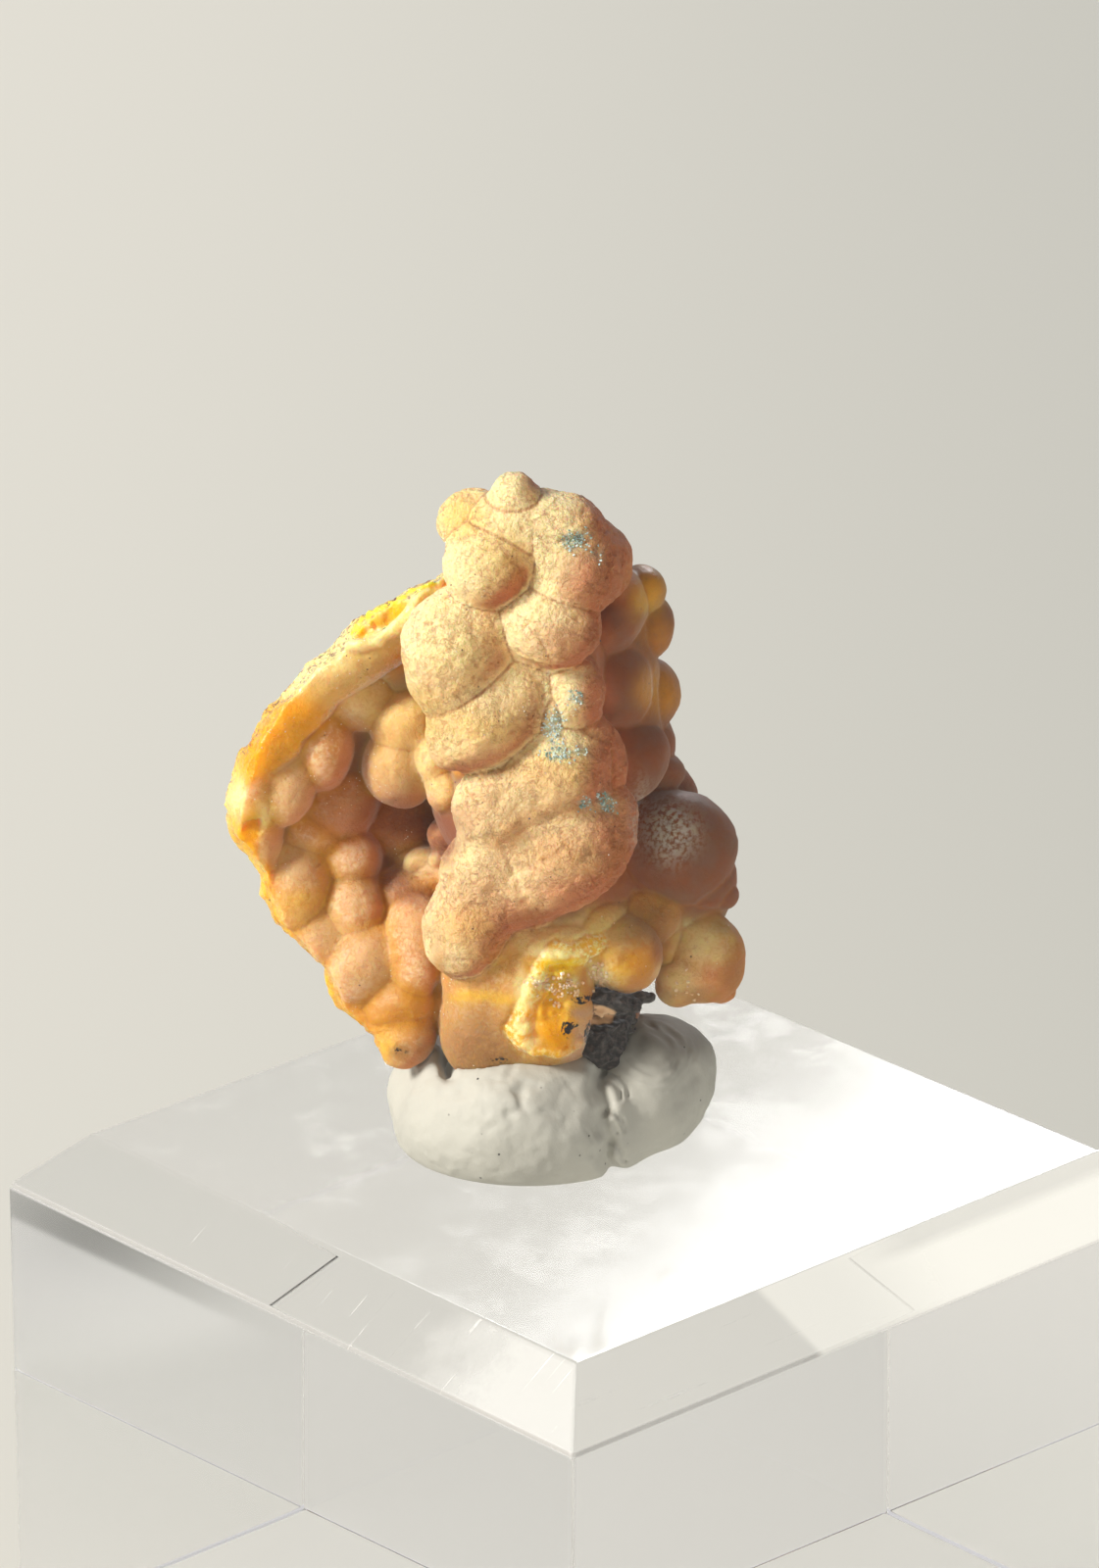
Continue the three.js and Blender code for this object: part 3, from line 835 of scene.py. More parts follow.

# %% [markdown]
# ## Patches of colour
#
# A real crust isn't coloured lump by lump. It has golden, rosy, amber and pale places, blue
# green stains and traces of black oxide. Some patches are partly painted light and shade: the
# rosy, russet, deep and brown ones paint shade, one pale patch paints light, and some amber
# ones paint a glow. Each is a soft oval on the front with a ragged edge. The mimetite's
# material reads how strong each kind of patch is at a point.

# %% Patches of colour
# Each patch: across, up, half width, half height, how far back it reaches, strength.
PATCHES = {
    "golden": [
        (-4.9, 6.45, 2.2, 0.26, 3.0, 1.0), (-5.95, 28.0, 1.1, 1.1, 3.0, 0.6),
        (-6.2, 21.6, 1.4, 1.6, 1.0, 0.2), (-13.3, 10.5, 1.0, 0.9, 6.0, 0.7),
        (-9.4, 4.0, 0.7, 0.9, 3.0, 0.9), (-5.6, 9.6, 1.2, 1.0, 1.0, 0.5),
        (-1.8, 16.7, 1.8, 0.9, 1.0, 0.4), (-5.2, 18.6, 1.6, 0.8, 1.0, 0.4),
        (0.2, 8.6, 0.8, 0.6, 3.0, 0.8), (-3.2, 8.5, 2.2, 0.7, 1.0, 0.4),
        (2.2, 24.4, 0.8, 0.9, 6.0, 0.7), (-4.3, 26.3, 1.2, 1.2, 1.0, 0.3),
        (-1.4, 12.9, 1.8, 1.1, 1.0, 0.25), (-15.1, 14.6, 0.7, 0.8, 6.0, 0.8),
        (-14.6, 9.5, 0.7, 1.0, 6.0, 0.5),
    ],
    # The first three rows, on the flank's edge lumps, partly paint the glow of light through them.
    "amber": [
        (2.3, 25.0, 0.9, 1.0, 6.0, 0.6), (2.9, 22.6, 0.7, 0.9, 6.0, 0.5),
        (2.9, 20.2, 0.9, 1.0, 6.0, 0.8), (2.0, 8.0, 0.7, 0.8, 3.0, 0.9),
        (-8.4, 5.5, 1.3, 0.9, 3.0, 1.0), (-8.9, 8.3, 0.3, 1.3, 3.0, 0.7),
        (-9.3, 21.4, 0.9, 0.7, 6.0, 0.6), (-12.2, 12.2, 0.35, 1.6, 6.0, 0.7),
        (-6.9, 7.0, 0.3, 1.2, 3.0, 0.6),
    ],
    # Mostly painted shade: in the cup, on the column's shaded right side and in creases.
    "russet": [
        (-6.9, 7.4, 0.4, 2.0, 3.0, 0.5), (-10.6, 18.8, 0.9, 0.45, 6.0, 0.5),
        (-9.6, 18.9, 0.5, 0.9, 6.0, 0.6), (-10.9, 16.9, 0.9, 0.6, 6.0, 0.4),
        (0.9, 12.6, 0.5, 1.7, 2.0, 0.6), (0.3, 25.0, 0.7, 1.4, 2.0, 0.35),
        (0.2, 22.2, 0.6, 1.0, 2.0, 0.4), (-3.0, 10.1, 1.4, 0.3, 3.0, 0.5),
        (3.0, 8.9, 0.3, 1.2, 3.0, 0.8),
    ],
    # Painted shade in the hole of the cup.
    "deep": [
        (-7.3, 13.2, 0.8, 0.8, 6.0, 1.0), (-7.9, 14.3, 2.0, 1.0, 6.0, 0.9),
        (-6.8, 13.4, 0.8, 0.9, 6.0, 1.0), (-8.9, 11.6, 0.7, 0.8, 6.0, 0.8),
        (-9.6, 14.6, 1.4, 0.9, 6.0, 0.5), (-9.3, 13.0, 0.5, 1.4, 6.0, 0.6),
        (-8.3, 11.0, 1.0, 0.5, 6.0, 0.8),
    ],
    # Mostly painted shade, on the column's right and lower sides that turn from the sun, and in the cup.
    "rosy": [
        (-1.2, 12.8, 2.6, 1.9, 1.0, 0.5), (-5.0, 10.2, 2.1, 1.9, 1.0, 0.5),
        (-4.0, 12.6, 1.2, 1.0, 1.0, 0.4), (0.6, 13.6, 1.2, 2.0, 1.0, 0.9),
        (-1.0, 11.2, 2.2, 0.8, 1.0, 0.8), (-3.6, 10.0, 1.4, 0.8, 1.0, 0.8),
        (-4.7, 8.9, 1.0, 0.8, 1.0, 0.6), (-0.1, 25.2, 1.3, 1.4, 1.0, 0.9),
        (-1.2, 22.4, 1.5, 0.9, 1.0, 0.6), (0.3, 27.0, 0.9, 1.2, 1.0, 0.7),
        (0.2, 19.9, 0.8, 1.5, 1.0, 1.0), (1.0, 25.6, 0.8, 1.6, 2.0, 1.0),
        (0.1, 22.3, 0.7, 1.2, 1.0, 0.9), (0.7, 17.0, 1.0, 1.8, 1.5, 0.9),
        (-7.2, 20.2, 1.2, 1.2, 1.0, 0.3), (-5.4, 14.6, 1.2, 1.2, 1.0, 0.3),
        (-10.4, 14.4, 2.2, 1.2, 6.0, 0.8), (-11.3, 15.6, 1.4, 1.2, 6.0, 0.6),
        (-1.0, 3.6, 1.5, 0.5, 3.0, 0.8), (5.4, 7.4, 1.2, 0.9, 3.0, 0.4),
    ],
    "beige": [
        (-8.6, 16.9, 1.5, 1.5, 6.0, 0.7), (-2.9, 16.1, 2.6, 1.3, 1.0, 0.6),
        (-3.9, 19.0, 2.0, 1.2, 1.0, 0.3), (-7.7, 12.5, 1.2, 0.9, 6.0, 1.0),
        (1.5, 9.5, 1.4, 0.7, 3.0, 0.7), (3.75, 7.1, 1.1, 0.9, 3.0, 1.0),
        (-10.4, 8.2, 1.6, 1.5, 3.0, 0.9), (-12.0, 9.2, 1.1, 1.0, 6.0, 0.8),
        (-10.8, 11.0, 1.0, 1.1, 6.0, 0.7), (-13.5, 12.4, 1.0, 1.1, 6.0, 0.9),
        (-13.8, 15.9, 1.0, 1.5, 6.0, 0.9), (-8.1, 9.6, 0.8, 1.0, 3.0, 0.8),
    ],
    "olive": [
        (-8.2, 19.0, 1.7, 1.5, 6.0, 1.0), (-9.0, 16.9, 1.0, 1.0, 6.0, 0.5),
        (0.3, 9.7, 1.2, 0.8, 3.0, 0.9),
    ],
    # Partly painted shade: under the foot, on lumps behind the overhang and on the lower column.
    "brown": [
        (-5.4, 4.0, 2.1, 1.75, 3.0, 1.0), (-1.2, 3.4, 1.5, 0.4, 3.0, 0.9),
        (2.9, 9.9, 1.6, 0.9, 6.0, 0.8), (6.3, 7.5, 0.7, 1.2, 3.0, 0.35),
        (5.9, 9.9, 1.0, 0.6, 6.0, 0.4), (4.6, 6.6, 1.4, 0.4, 3.0, 0.5),
        (-1.5, 13.0, 1.7, 1.1, 1.0, 0.25), (-7.6, 3.9, 0.5, 0.7, 3.0, 0.5),
        (-8.6, 3.8, 0.5, 0.3, 3.0, 0.7), (-8.7, 16.6, 1.3, 1.2, 6.0, 0.45),
        (-11.2, 15.0, 1.2, 1.0, 6.0, 0.3),
    ],
    # The first row is painted light, on a lump that lies in the column's shadow.
    "pale": [
        (4.7, 8.9, 1.0, 0.9, 3.0, 1.0), (-10.4, 20.1, 1.1, 1.1, 6.0, 0.8),
        (-7.1, 17.0, 0.7, 1.0, 6.0, 0.9), (-6.7, 15.9, 0.5, 0.7, 6.0, 0.9),
        (-8.0, 12.6, 0.8, 0.5, 6.0, 0.7), (-0.9, 9.5, 1.6, 0.6, 1.5, 0.6),
        (-2.3, 9.0, 1.2, 0.5, 1.5, 0.6), (3.7, 7.4, 0.8, 0.6, 3.0, 0.8),
        (-8.3, 19.3, 1.0, 0.6, 6.0, 0.5), (5.5, 8.3, 0.5, 0.5, 3.0, 0.7),
    ],
    "orange": [
        (-14.4, 18.1, 1.0, 0.55, 6.0, 0.9), (-13.4, 19.0, 1.3, 0.7, 6.0, 0.8),
        (-15.25, 17.15, 0.75, 1.2, 6.0, 1.0), (-15.45, 13.85, 0.5, 0.85, 6.0, 0.9),
        (-7.55, 24.3, 0.4, 0.9, 6.0, 1.0), (-1.9, 4.7, 1.2, 0.8, 1.0, 1.0),
        (-2.2, 5.7, 0.9, 1.1, 1.0, 0.8), (-2.4, 5.9, 0.35, 0.9, 1.0, 0.7),
        (-6.9, 24.95, 0.35, 0.3, 6.0, 1.0),
    ],
    "yolk": [
        (-8.75, 23.75, 0.7, 0.5, 6.0, 1.0), (-9.5, 23.3, 0.7, 0.4, 6.0, 0.8),
        (-10.35, 22.75, 0.5, 0.4, 6.0, 1.0), (-1.4, 7.95, 1.0, 0.42, 1.0, 1.0),
        (1.2, 7.7, 0.35, 0.5, 3.0, 0.4),
    ],
    "cream": [
        (-12.2, 21.4, 1.0, 0.5, 6.0, 0.8), (-16.1, 15.4, 0.5, 0.8, 6.0, 1.0),
        (-14.9, 14.6, 0.25, 0.5, 6.0, 0.7), (-14.8, 12.9, 0.2, 0.5, 6.0, 0.6),
        (-9.5, 22.85, 0.6, 0.2, 6.0, 0.7), (0.3, 7.45, 0.38, 0.5, 1.0, 1.0),
        (-2.5, 7.15, 0.4, 0.3, 1.0, 1.0), (-3.3, 5.1, 0.4, 0.35, 1.0, 0.8),
        (-1.7, 8.55, 1.3, 0.22, 1.0, 0.9), (-3.3, 6.9, 0.35, 0.9, 1.0, 0.8),
        (-3.0, 4.3, 0.4, 0.3, 1.0, 0.6), (-0.8, 7.1, 0.3, 0.2, 1.0, 0.8),
    ],
    "tan": [
        (-0.55, 5.7, 0.5, 0.28, 1.0, 1.0), (-0.6, 4.7, 0.45, 0.8, 1.0, 0.9),
        (-0.8, 3.9, 0.6, 0.3, 1.0, 0.6),
    ],
    "verdigris": [
        (-0.80, 26.95, 0.5, 0.35, 2.0, 0.9), (0.1, 26.2, 0.3, 0.3, 2.0, 0.3),
        (-0.85, 19.8, 0.3, 0.4, 2.0, 0.9), (-1.75, 18.4, 0.35, 0.7, 2.0, 1.0),
        (-1.55, 17.5, 0.6, 0.22, 2.0, 1.0), (-0.6, 17.5, 0.3, 0.25, 2.0, 0.9),
        (0.5, 15.2, 0.28, 0.4, 2.0, 1.0), (-0.4, 15.15, 0.32, 0.22, 2.0, 0.8),
    ],
    "bloom": [
        (3.3, 13.9, 1.2, 1.2, 3.0, 1.0), (1.9, 14.6, 0.5, 1.5, 3.0, 0.5),
    ],
    "crumbly": [
        (-1.55, 6.95, 0.95, 0.42, 1.0, 1.0), (-1.7, 6.3, 0.5, 0.35, 1.0, 0.6),
        (0.3, 7.5, 0.3, 0.45, 1.0, 0.9), (-2.5, 7.1, 0.35, 0.25, 1.0, 0.8),
        (3.75, 7.0, 0.7, 0.5, 3.0, 0.15),
    ],
    "black": [
        (-1.3, 4.95, 0.25, 0.28, 1.0, 0.9), (-0.28, 4.75, 0.14, 0.45, 1.0, 0.9),
        (-1.1, 5.2, 0.4, 0.12, 1.0, 0.8), (-4.4, 3.5, 0.45, 0.16, 1.0, 0.45),
        (-8.6, 3.8, 0.45, 0.2, 1.0, 0.35), (-0.4, 6.3, 0.5, 0.16, 1.0, 0.8),
    ],
}


PATCH_RAGGED = 0.15
PATCH_RAGGED_SIZE = 0.9
PATCH_BACK_FADE = 0.8


def patches(points, across, up, table):
    """The strongest of a table's soft ovals at each point."""
    strongest = np.zeros(len(points))
    ragged_across = across + PATCH_RAGGED * rough(points, PATCH_RAGGED_SIZE, 51)
    ragged_up = up + PATCH_RAGGED * rough(points, PATCH_RAGGED_SIZE, 54)
    for at_across, at_up, wide, high, back, strength in table:
        off = ((ragged_across - at_across) / wide) ** 2 + ((ragged_up - at_up) / high) ** 2
        oval = strength * np.exp(-0.8 * off ** 1.5)
        oval *= smooth_step(back + PATCH_BACK_FADE, back, points[:, 1])
        strongest = np.maximum(strongest, oval)
    return strongest


print("patches of colour:", sum(map(len, PATCHES.values())))

# %% [markdown]
# ## What the corners know
#
# From its place, its facing and its families each corner gets a few numbers from 0 to 1. They
# say how far it belongs to the column, the cup or the flank, how much it faces the sun, which
# sets its pale dust and its painted light and shade, how near the break it is, and whether a
# seam or a film of oxide crosses it.

# %% What each corner of the crust is like
crust_normals = normals_of(crust)
across, up = as_seen(crust_points)
by_family, first, second = nearest_forms(crust_points)
FAMILY_BLEND = 0.25
# Close to the sun's direction: it sets painted light and shade as well as the dust.
SUN_AND_DUST_FROM = np.array((-0.72, -0.42, 0.55))
OXIDE_SIDE = np.array((-0.25, 0.95, 0.0))
SEAM_WIDTH = 0.11


def share(*names):
    """How much each corner belongs to the named families, from 0 to 1."""
    own = np.min([by_family[name] for name in names], 0)
    others = np.min([far for name, far in by_family.items() if name not in names], 0)
    return smooth_step(FAMILY_BLEND, -FAMILY_BLEND, own - others)


valley = np.clip(second - first, 0.0, 3.0)
column = share("column")
cup = share("cup", "rim", "small") * smooth_step(-5.5, -6.5, crust_points[:, 0])
cup *= smooth_step(6.0, 3.0, crust_points[:, 1])
flank = share("flank", "back", "middle")
narrower_below = 1.0 + 3.0 * smooth_step(17.0, 15.0, up)
rim_gap = within_rim(across, up)[0] * narrower_below + 6.0 * share("cup")
rim_gap += 1.2 * smooth_step(12.5, 10.5, up)
broken = smooth_step(-0.05, -0.15, first) * (1.0 - column)
# Painted light and shade, with dust: corners that face the sun are pale with dust and painted light, and
# corners that turn away get painted shade.
sunward = crust_normals @ SUN_AND_DUST_FROM
dust = smooth_step(-0.45, 0.75, sunward + 0.12 * rough(crust_points, 2.5, 61))
facing = smooth_step(0.0, 0.3, crust_normals @ -SIGHT_LINE)
seams = np.min([far_from(line, across, up) for line in SEAMS], 0)
seam = column * facing * np.exp(-((seams + 0.05 * rough(crust_points, 0.7, 63)) / SEAM_WIDTH) ** 2)
oxide_film = smooth_step(0.2, 0.75, crust_normals @ OXIDE_SIDE)
oxide_film *= smooth_step(-6.0, -8.0, crust_points[:, 0])
oxide_film *= smooth_step(-0.2, 0.6, rough(crust_points, 2.2, 71) + 0.2)
for name, values in (("column", column), ("cup", cup), ("flank", flank), ("broken", broken)):
    print(name, "covers", round(100.0 * values.mean()), "in 100 corners")

# %% [markdown]
# ## Relief
#
# The relief is real, not painted: slow waves, grain, wrinkles and pits move the corners along
# their normals, a groove follows each crease, and the bubble beside the oxide gets facets. A
# matte lump of the column is rougher than a waxy one of the cup.

# %% Relief of the crust
GROOVE = 0.09
GROOVE_WIDTH = 0.13
SEAM_DEPTH = 0.11
WRINKLE_DEPTH = 0.05
WRINKLE_WIDTH = 0.12
PIT_DEPTH = 0.20
BUBBLE = (-1.9, 5.9, 1.5, 2.2)
FACETS = 0.16

matte = 0.30 + 0.70 * column + 0.15 * cup
waves = 0.05 * humps(crust_points, 1.7, 11) + 0.045 * humps(crust_points, 0.8, 12)
grain = 0.04 * humps(crust_points, 0.42, 13) + 0.03 * humps(crust_points, 0.24, 14)
lines = humps(crust_points, 1.2, 16) + 0.35 * humps(crust_points, 0.4, 17)
wrinkles = -WRINKLE_DEPTH * np.exp(-((lines / WRINKLE_WIDTH) ** 2))
pits = -PIT_DEPTH * np.clip(humps(crust_points, 0.36, 15) - 0.5, 0.0, 1.0)
splinters = 0.10 * np.abs(humps(crust_points, 0.55, 18)) + 0.06 * humps(crust_points, 0.25, 19)
groove = -GROOVE * np.exp(-((valley / GROOVE_WIDTH) ** 2)) * (1.0 - 0.6 * cup)
in_ring = ((across - BUBBLE[0]) / BUBBLE[2]) ** 2 + ((up - BUBBLE[1]) / BUBBLE[3]) ** 2
in_ring = np.exp(-in_ring ** 2) * smooth_step(0.5, -0.5, crust_points[:, 1])
in_ring *= 1.0 - column
facets = FACETS * (np.abs(humps(crust_points, 0.62, 20)) - 0.5)
facets *= np.maximum(share("ring"), in_ring)
fine_relief = (matte * (grain + wrinkles + pits) + groove) * (1.0 - broken) + broken * splinters
fine_relief -= SEAM_DEPTH * seam
moved = crust_normals * (waves * (1.0 - broken) + fine_relief + facets)[:, None]
moved += warped(crust_points)
move_corners(crust, np.clip(moved, crust_low, crust_high))
print("the deepest groove or pit is", round(-fine_relief.min(), 2), "mm")

# %% [markdown]
# ## Notes for the materials
#
# Each number is kept as a named attribute of the mesh, where the material and the scattered
# crystals read it. Then the mesh is thinned, which keeps the attributes, and held inside the
# solid's box.

# %% Note what the materials need
MOST_TRIANGLES = 196000
NO_GAP = 9.0
OUTWARD = np.array((-0.5, 0.8, 0.3))
INSIDE = 0.001
OFF_COLUMN = ("pale", "orange", "yolk", "cream", "crumbly")

neither = (1.0 - column) * (1.0 - flank) * (1.0 - cup)
dusty = smooth_step(0.1, 0.8, rough(crust_points, 1.8, 67)) * (0.35 * column + 0.8 * cup + 0.5 * neither)
speckled = smooth_step(0.2, 0.8, rough(crust_points, 2.4, 68)) * (1.0 - flank) * facing * (1.0 - 0.7 * cup)
notes = {
    "valley": np.minimum(valley, 1.0 - 0.9 * seam),
    "rim_gap": np.where((column > 0.5) | (crust_points[:, 0] > -6.0), NO_GAP, rim_gap),
    "rim wall": smooth_step(0.13, 0.03, by_family["rim wall"]),
    "rim ridge": smooth_step(0.13, 0.03, by_family["rim ridge"]),
    "outward": smooth_step(0.1, 0.6, crust_normals @ OUTWARD),
    "low_spot": np.clip(-(grain + wrinkles + pits) * matte / 0.10, 0.0, 1.0),
    "ring": share("ring"),
    "in_ring": in_ring,
    "broken": broken * (0.3 + 0.7 * smooth_step(9.5, 12.5, up)),
    "lower_rim": smooth_step(20.6, 19.0, up + 0.4 * rough(crust_points, 1.5, 73)),
    "dust": dust,
    "column": column,
    "cup": cup,
    "flank": flank,
    "speckled": speckled * smooth_step(-0.5, -1.5, across - 6.0 * column),
    "dusty": dusty * (1.0 - broken) * smooth_step(0.2, 0.6, dust),
    "oxide_film": oxide_film,
}
for name, table in PATCHES.items():
    where = 1.0 - column if name in OFF_COLUMN else 1.0
    notes[name] = patches(crust_points, across, up, table) * where
for name, values in notes.items():
    note(crust, name, values)
thin(crust, MOST_TRIANGLES)
crust_points = np.clip(corners_of(crust), crust_low + INSIDE, crust_high - INSIDE)
move_corners(crust, crust_points)
print("crust:", sum(len(face.vertices) - 2 for face in crust.data.polygons), "triangles")

# %% [markdown]
# ## Shader maths as Python
#
# A material is a graph, but sums in it read best as sums. `Wire` wraps one socket, and each
# operator on it adds a Math node. `Finish` starts a material and makes every other node:
# its settings are set first, then the values or wires of its sockets.

# %% Wires and finishes
class Wire:
    """One socket of a node, which sums can be done with."""

    def __init__(self, finish, socket):
        self.finish = finish
        self.socket = socket

    def math(self, operation, *values, clamp=False):
        settings = {"operation": operation, "use_clamp": clamp}
        return self.finish.add("ShaderNodeMath", settings, dict(enumerate(values)))

    def __add__(self, other):
        return self.math("ADD", self, other)

    def __sub__(self, other):
        return self.math("SUBTRACT", self, other)

    def __mul__(self, other):
        return self.math("MULTIPLY", self, other)

    def __rsub__(self, other):
        return self.math("SUBTRACT", other, self)

    def __pow__(self, other):
        return self.math("POWER", self, other)

    __radd__ = __add__
    __rmul__ = __mul__

    def clamped(self):
        return self.math("ADD", self, 0.0, clamp=True)

    def away(self, other):
        """How far this value is from another, either way."""
        return self.math("ABSOLUTE", self - other)


class Finish:
    """A material that is being made."""

    def __init__(self, name):
        self.material = bpy.data.materials.new(name)
        self.material.use_nodes = True
        self.tree = self.material.node_tree
        self.tree.nodes.clear()
        self.place = self.add("ShaderNodeTexCoord", out="Object")

    def add(self, kind, settings={}, sockets={}, out=0):
        """A node of a kind: its settings are set first, then its sockets, by value or wire."""
        node = self.tree.nodes.new(kind)
        for name, value in settings.items():
            setattr(node, name, value)
        for name, value in sockets.items():
            socket = node.inputs[name]
            if isinstance(value, Wire):
                self.tree.links.new(value.socket, socket)
            elif socket.type == "RGBA":
                socket.default_value = (*value, 1.0)
            else:
                socket.default_value = value
        return Wire(self, node.outputs[out])

    def axes(self):
        """The place on the surface as x, y and z, in metres."""
        return [self.add("ShaderNodeSeparateXYZ", {}, {0: self.place}, axis) for axis in "XYZ"]

    def noted(self, name):
        """A number that the mesh's corners carry."""
        return self.add("ShaderNodeAttribute", {"attribute_name": name}, out="Fac")

    def noise(self, size, detail=3.0, roughness=0.55):
        """Noise from 0 to 1 with features about `size` mm across."""
        sockets = {"Vector": self.place, "Scale": 1.0 / (size * MM)}
        sockets.update({"Detail": detail, "Roughness": roughness})
        return self.add("ShaderNodeTexNoise", {}, sockets, "Fac")

    def cells(self, size):
        """How far a point is from the middle of its cell; the cells are about `size` mm wide."""
        sockets = {"Vector": self.place, "Scale": 1.0 / (size * MM)}
        return self.add("ShaderNodeTexVoronoi", {"feature": "F1"}, sockets, "Distance")

    def specks(self, cell, patch, low, high):
        """Rare dark specks, one to a cell, gathered in patches."""
        return self.between(self.cells(cell), 0.09, 0.05) * self.between(self.noise(patch), low, high)

    def between(self, value, low, high):
        """0 below `low`, 1 above `high`, smooth between; the other way round if low > high."""
        if low > high:
            return 1.0 - self.between(value, high, low)
        sockets = {"Value": value, "From Min": low, "From Max": high}
        return self.add("ShaderNodeMapRange", {"interpolation_type": "SMOOTHSTEP"}, sockets)

    def colour(self, share, a, b):
        """Colour a, turning to colour b as `share` goes from 0 to 1."""
        settings = {"data_type": "RGBA", "clamp_factor": True}
        return self.add("ShaderNodeMix", settings, {0: share, 6: a, 7: b}, 2)

    def bump(self, height, distance, strength=1.0, under=None):
        """Small relief, `distance` mm deep where the height goes from 0 to 1."""
        sockets = {"Height": height, "Distance": distance * MM, "Strength": strength}
        if under is not None:
            sockets["Normal"] = under
        return self.add("ShaderNodeBump", {}, sockets)

    def shader(self, **sockets):
        named = {name.replace("_", " "): value for name, value in sockets.items()}
        return self.add("ShaderNodeBsdfPrincipled", {}, named)

    def mixed(self, share, a, b):
        """Shader a, turning to shader b as `share` goes from 0 to 1."""
        return self.add("ShaderNodeMixShader", {}, {0: share, 1: a, 2: b})

    def finished(self, shader):
        node = self.tree.nodes.new("ShaderNodeOutputMaterial")
        self.tree.links.new(shader.socket, node.inputs["Surface"])
        return self.material

    def surface(self, **sockets):
        return self.finished(self.shader(**sockets))


print("shader helpers are ready")

# %% [markdown]
# ## Mimetite
#
# Mimetite is a waxy, partly see-through lead mineral, here honey to apricot. Its crowns carry
# a pale, finely pitted dust; the side that faces the sun is painted paler, and the side that
# turns away is painted a deeper orange shade. Its creases are a deeper orange, partly their own
# colour and partly painted shade. Where it is broken it glows yellow, because light enters the
# break and scatters inside. The scattering is real (subsurface), with red light travelling
# furthest, and the amber and honey bands along the rim add a painted glow to it.
#
# The colours come first. Each is named for what it looks like on the specimen.

# %% The colours of the crust
SAND = (0.97, 0.77, 0.40)
BLUSH = (0.82, 0.47, 0.23)
PEACH = (0.93, 0.60, 0.27)
EMBER = (0.54, 0.17, 0.066)
APRICOT = (0.72, 0.35, 0.12)
GOLD = (0.86, 0.51, 0.06)
AMBER = (0.66, 0.29, 0.025)
RUST = (0.48, 0.17, 0.05)
RUSSET = (0.36, 0.13, 0.04)
BRICK = (0.27, 0.095, 0.042)
MAROON = (0.26, 0.095, 0.05)
UMBER = (0.24, 0.115, 0.068)
YOLK = (0.96, 0.60, 0.01)
ORANGE = (0.86, 0.38, 0.002)
HONEY = (0.80, 0.39, 0.012)
LEMON = (0.98, 0.76, 0.05)
CREAM = (0.98, 0.82, 0.38)
ROSE = (0.54, 0.185, 0.085)
BEIGE = (0.66, 0.41, 0.185)
OLIVE = (0.76, 0.52, 0.18)
OCHRE = (0.66, 0.38, 0.09)
BROWN = (0.32, 0.16, 0.055)
FROST = (0.92, 0.72, 0.46)
PALE = (0.96, 0.76, 0.36)
TAN = (0.62, 0.36, 0.19)
BLOOM = (0.56, 0.52, 0.43)
TURQUOISE = (0.40, 0.52, 0.42)
SOOT = (0.030, 0.028, 0.029)
TINTS = {
    "golden": GOLD, "beige": BEIGE, "rosy": ROSE, "russet": RUSSET, "deep": MAROON, "amber": AMBER,
    "brown": BROWN, "pale": PALE, "olive": OLIVE,
}
BROKEN_TINTS = {"orange": ORANGE, "yolk": YOLK, "cream": CREAM, "tan": TAN}
print("tints of patches:", len(TINTS) + len(BROKEN_TINTS))

# %% [markdown]
# ## Colour of whole lumps
#
# Unbroken lumps come in four kinds. The column's are dusty: pale sand on the side that faces
# the sun, which is dust and painted light, and a deep ember on the side that turns away, which
# is painted shade. The cup's are amber in their creases, frosted on their tops where these face
# the sun, which is partly a painted highlight, and painted ember shade on the side that turns
# away. The foot's are ochre, lightly frosted, with painted rust shade on the side away from the
# sun, and the flank's are umber. The patches of colour lie over all of them.

# %% Colour of whole lumps
def grown_colour(f, mottling, fine):
    """The colours of unbroken lumps, family by family."""
    # Painted light and shade on the column: ember away from the sun, peach and sand towards it.
    dust = f.noted("dust") + 0.10 * (fine - 0.5)
    matte = f.colour(f.between(dust, 0.05, 0.6), EMBER, PEACH)
    matte = f.colour(f.between(dust + 0.3 * (mottling - 0.5), 0.5, 1.0), matte, SAND)
    inward = f.between(f.noted("valley") + 0.25 * (mottling - 0.5), 0.05, 0.75)
    cup = f.colour(inward, AMBER, f.colour(f.between(mottling, 0.3, 0.7), APRICOT, BLUSH))
    # Painted shade: the cup's lumps turn ember on the side away from the sun.
    cup = f.colour(f.between(dust, 0.5, 0.1) * 0.6, cup, EMBER)
    # Frost on the cup's tops, only where they face the sun: partly a painted highlight.
    frost_and_highlight = inward * f.between(fine + 0.4 * mottling, 0.62, 0.82) * f.between(dust, 0.2, 0.6)
    cup = f.colour(frost_and_highlight * 0.55, cup, FROST)
    foot = f.colour(f.between(mottling, 0.3, 0.7), APRICOT, OCHRE)
    foot = f.colour(frost_and_highlight * 0.3, foot, FROST)
    # Painted shade: the foot turns rust on the side away from the sun.
    foot = f.colour(f.between(dust, 0.5, 0.05) * 0.7, foot, RUST)
    flank = f.colour(f.between(mottling, 0.3, 0.7), BRICK, UMBER)
    grown = f.colour(f.noted("column"), foot, matte)
    grown = f.colour(f.noted("cup"), grown, cup)
    grown = f.colour(f.noted("flank"), grown, flank)
    spotty = f.between(fine, 0.15, 0.6)
    for name, colour in TINTS.items():
        grown = f.colour(f.noted(name) * (0.65 + 0.35 * spotty), grown, colour)
    return f.colour(f.noted("bloom") * f.between(fine, 0.35, 0.6), grown, BLOOM)


print("whole lumps have their colours")

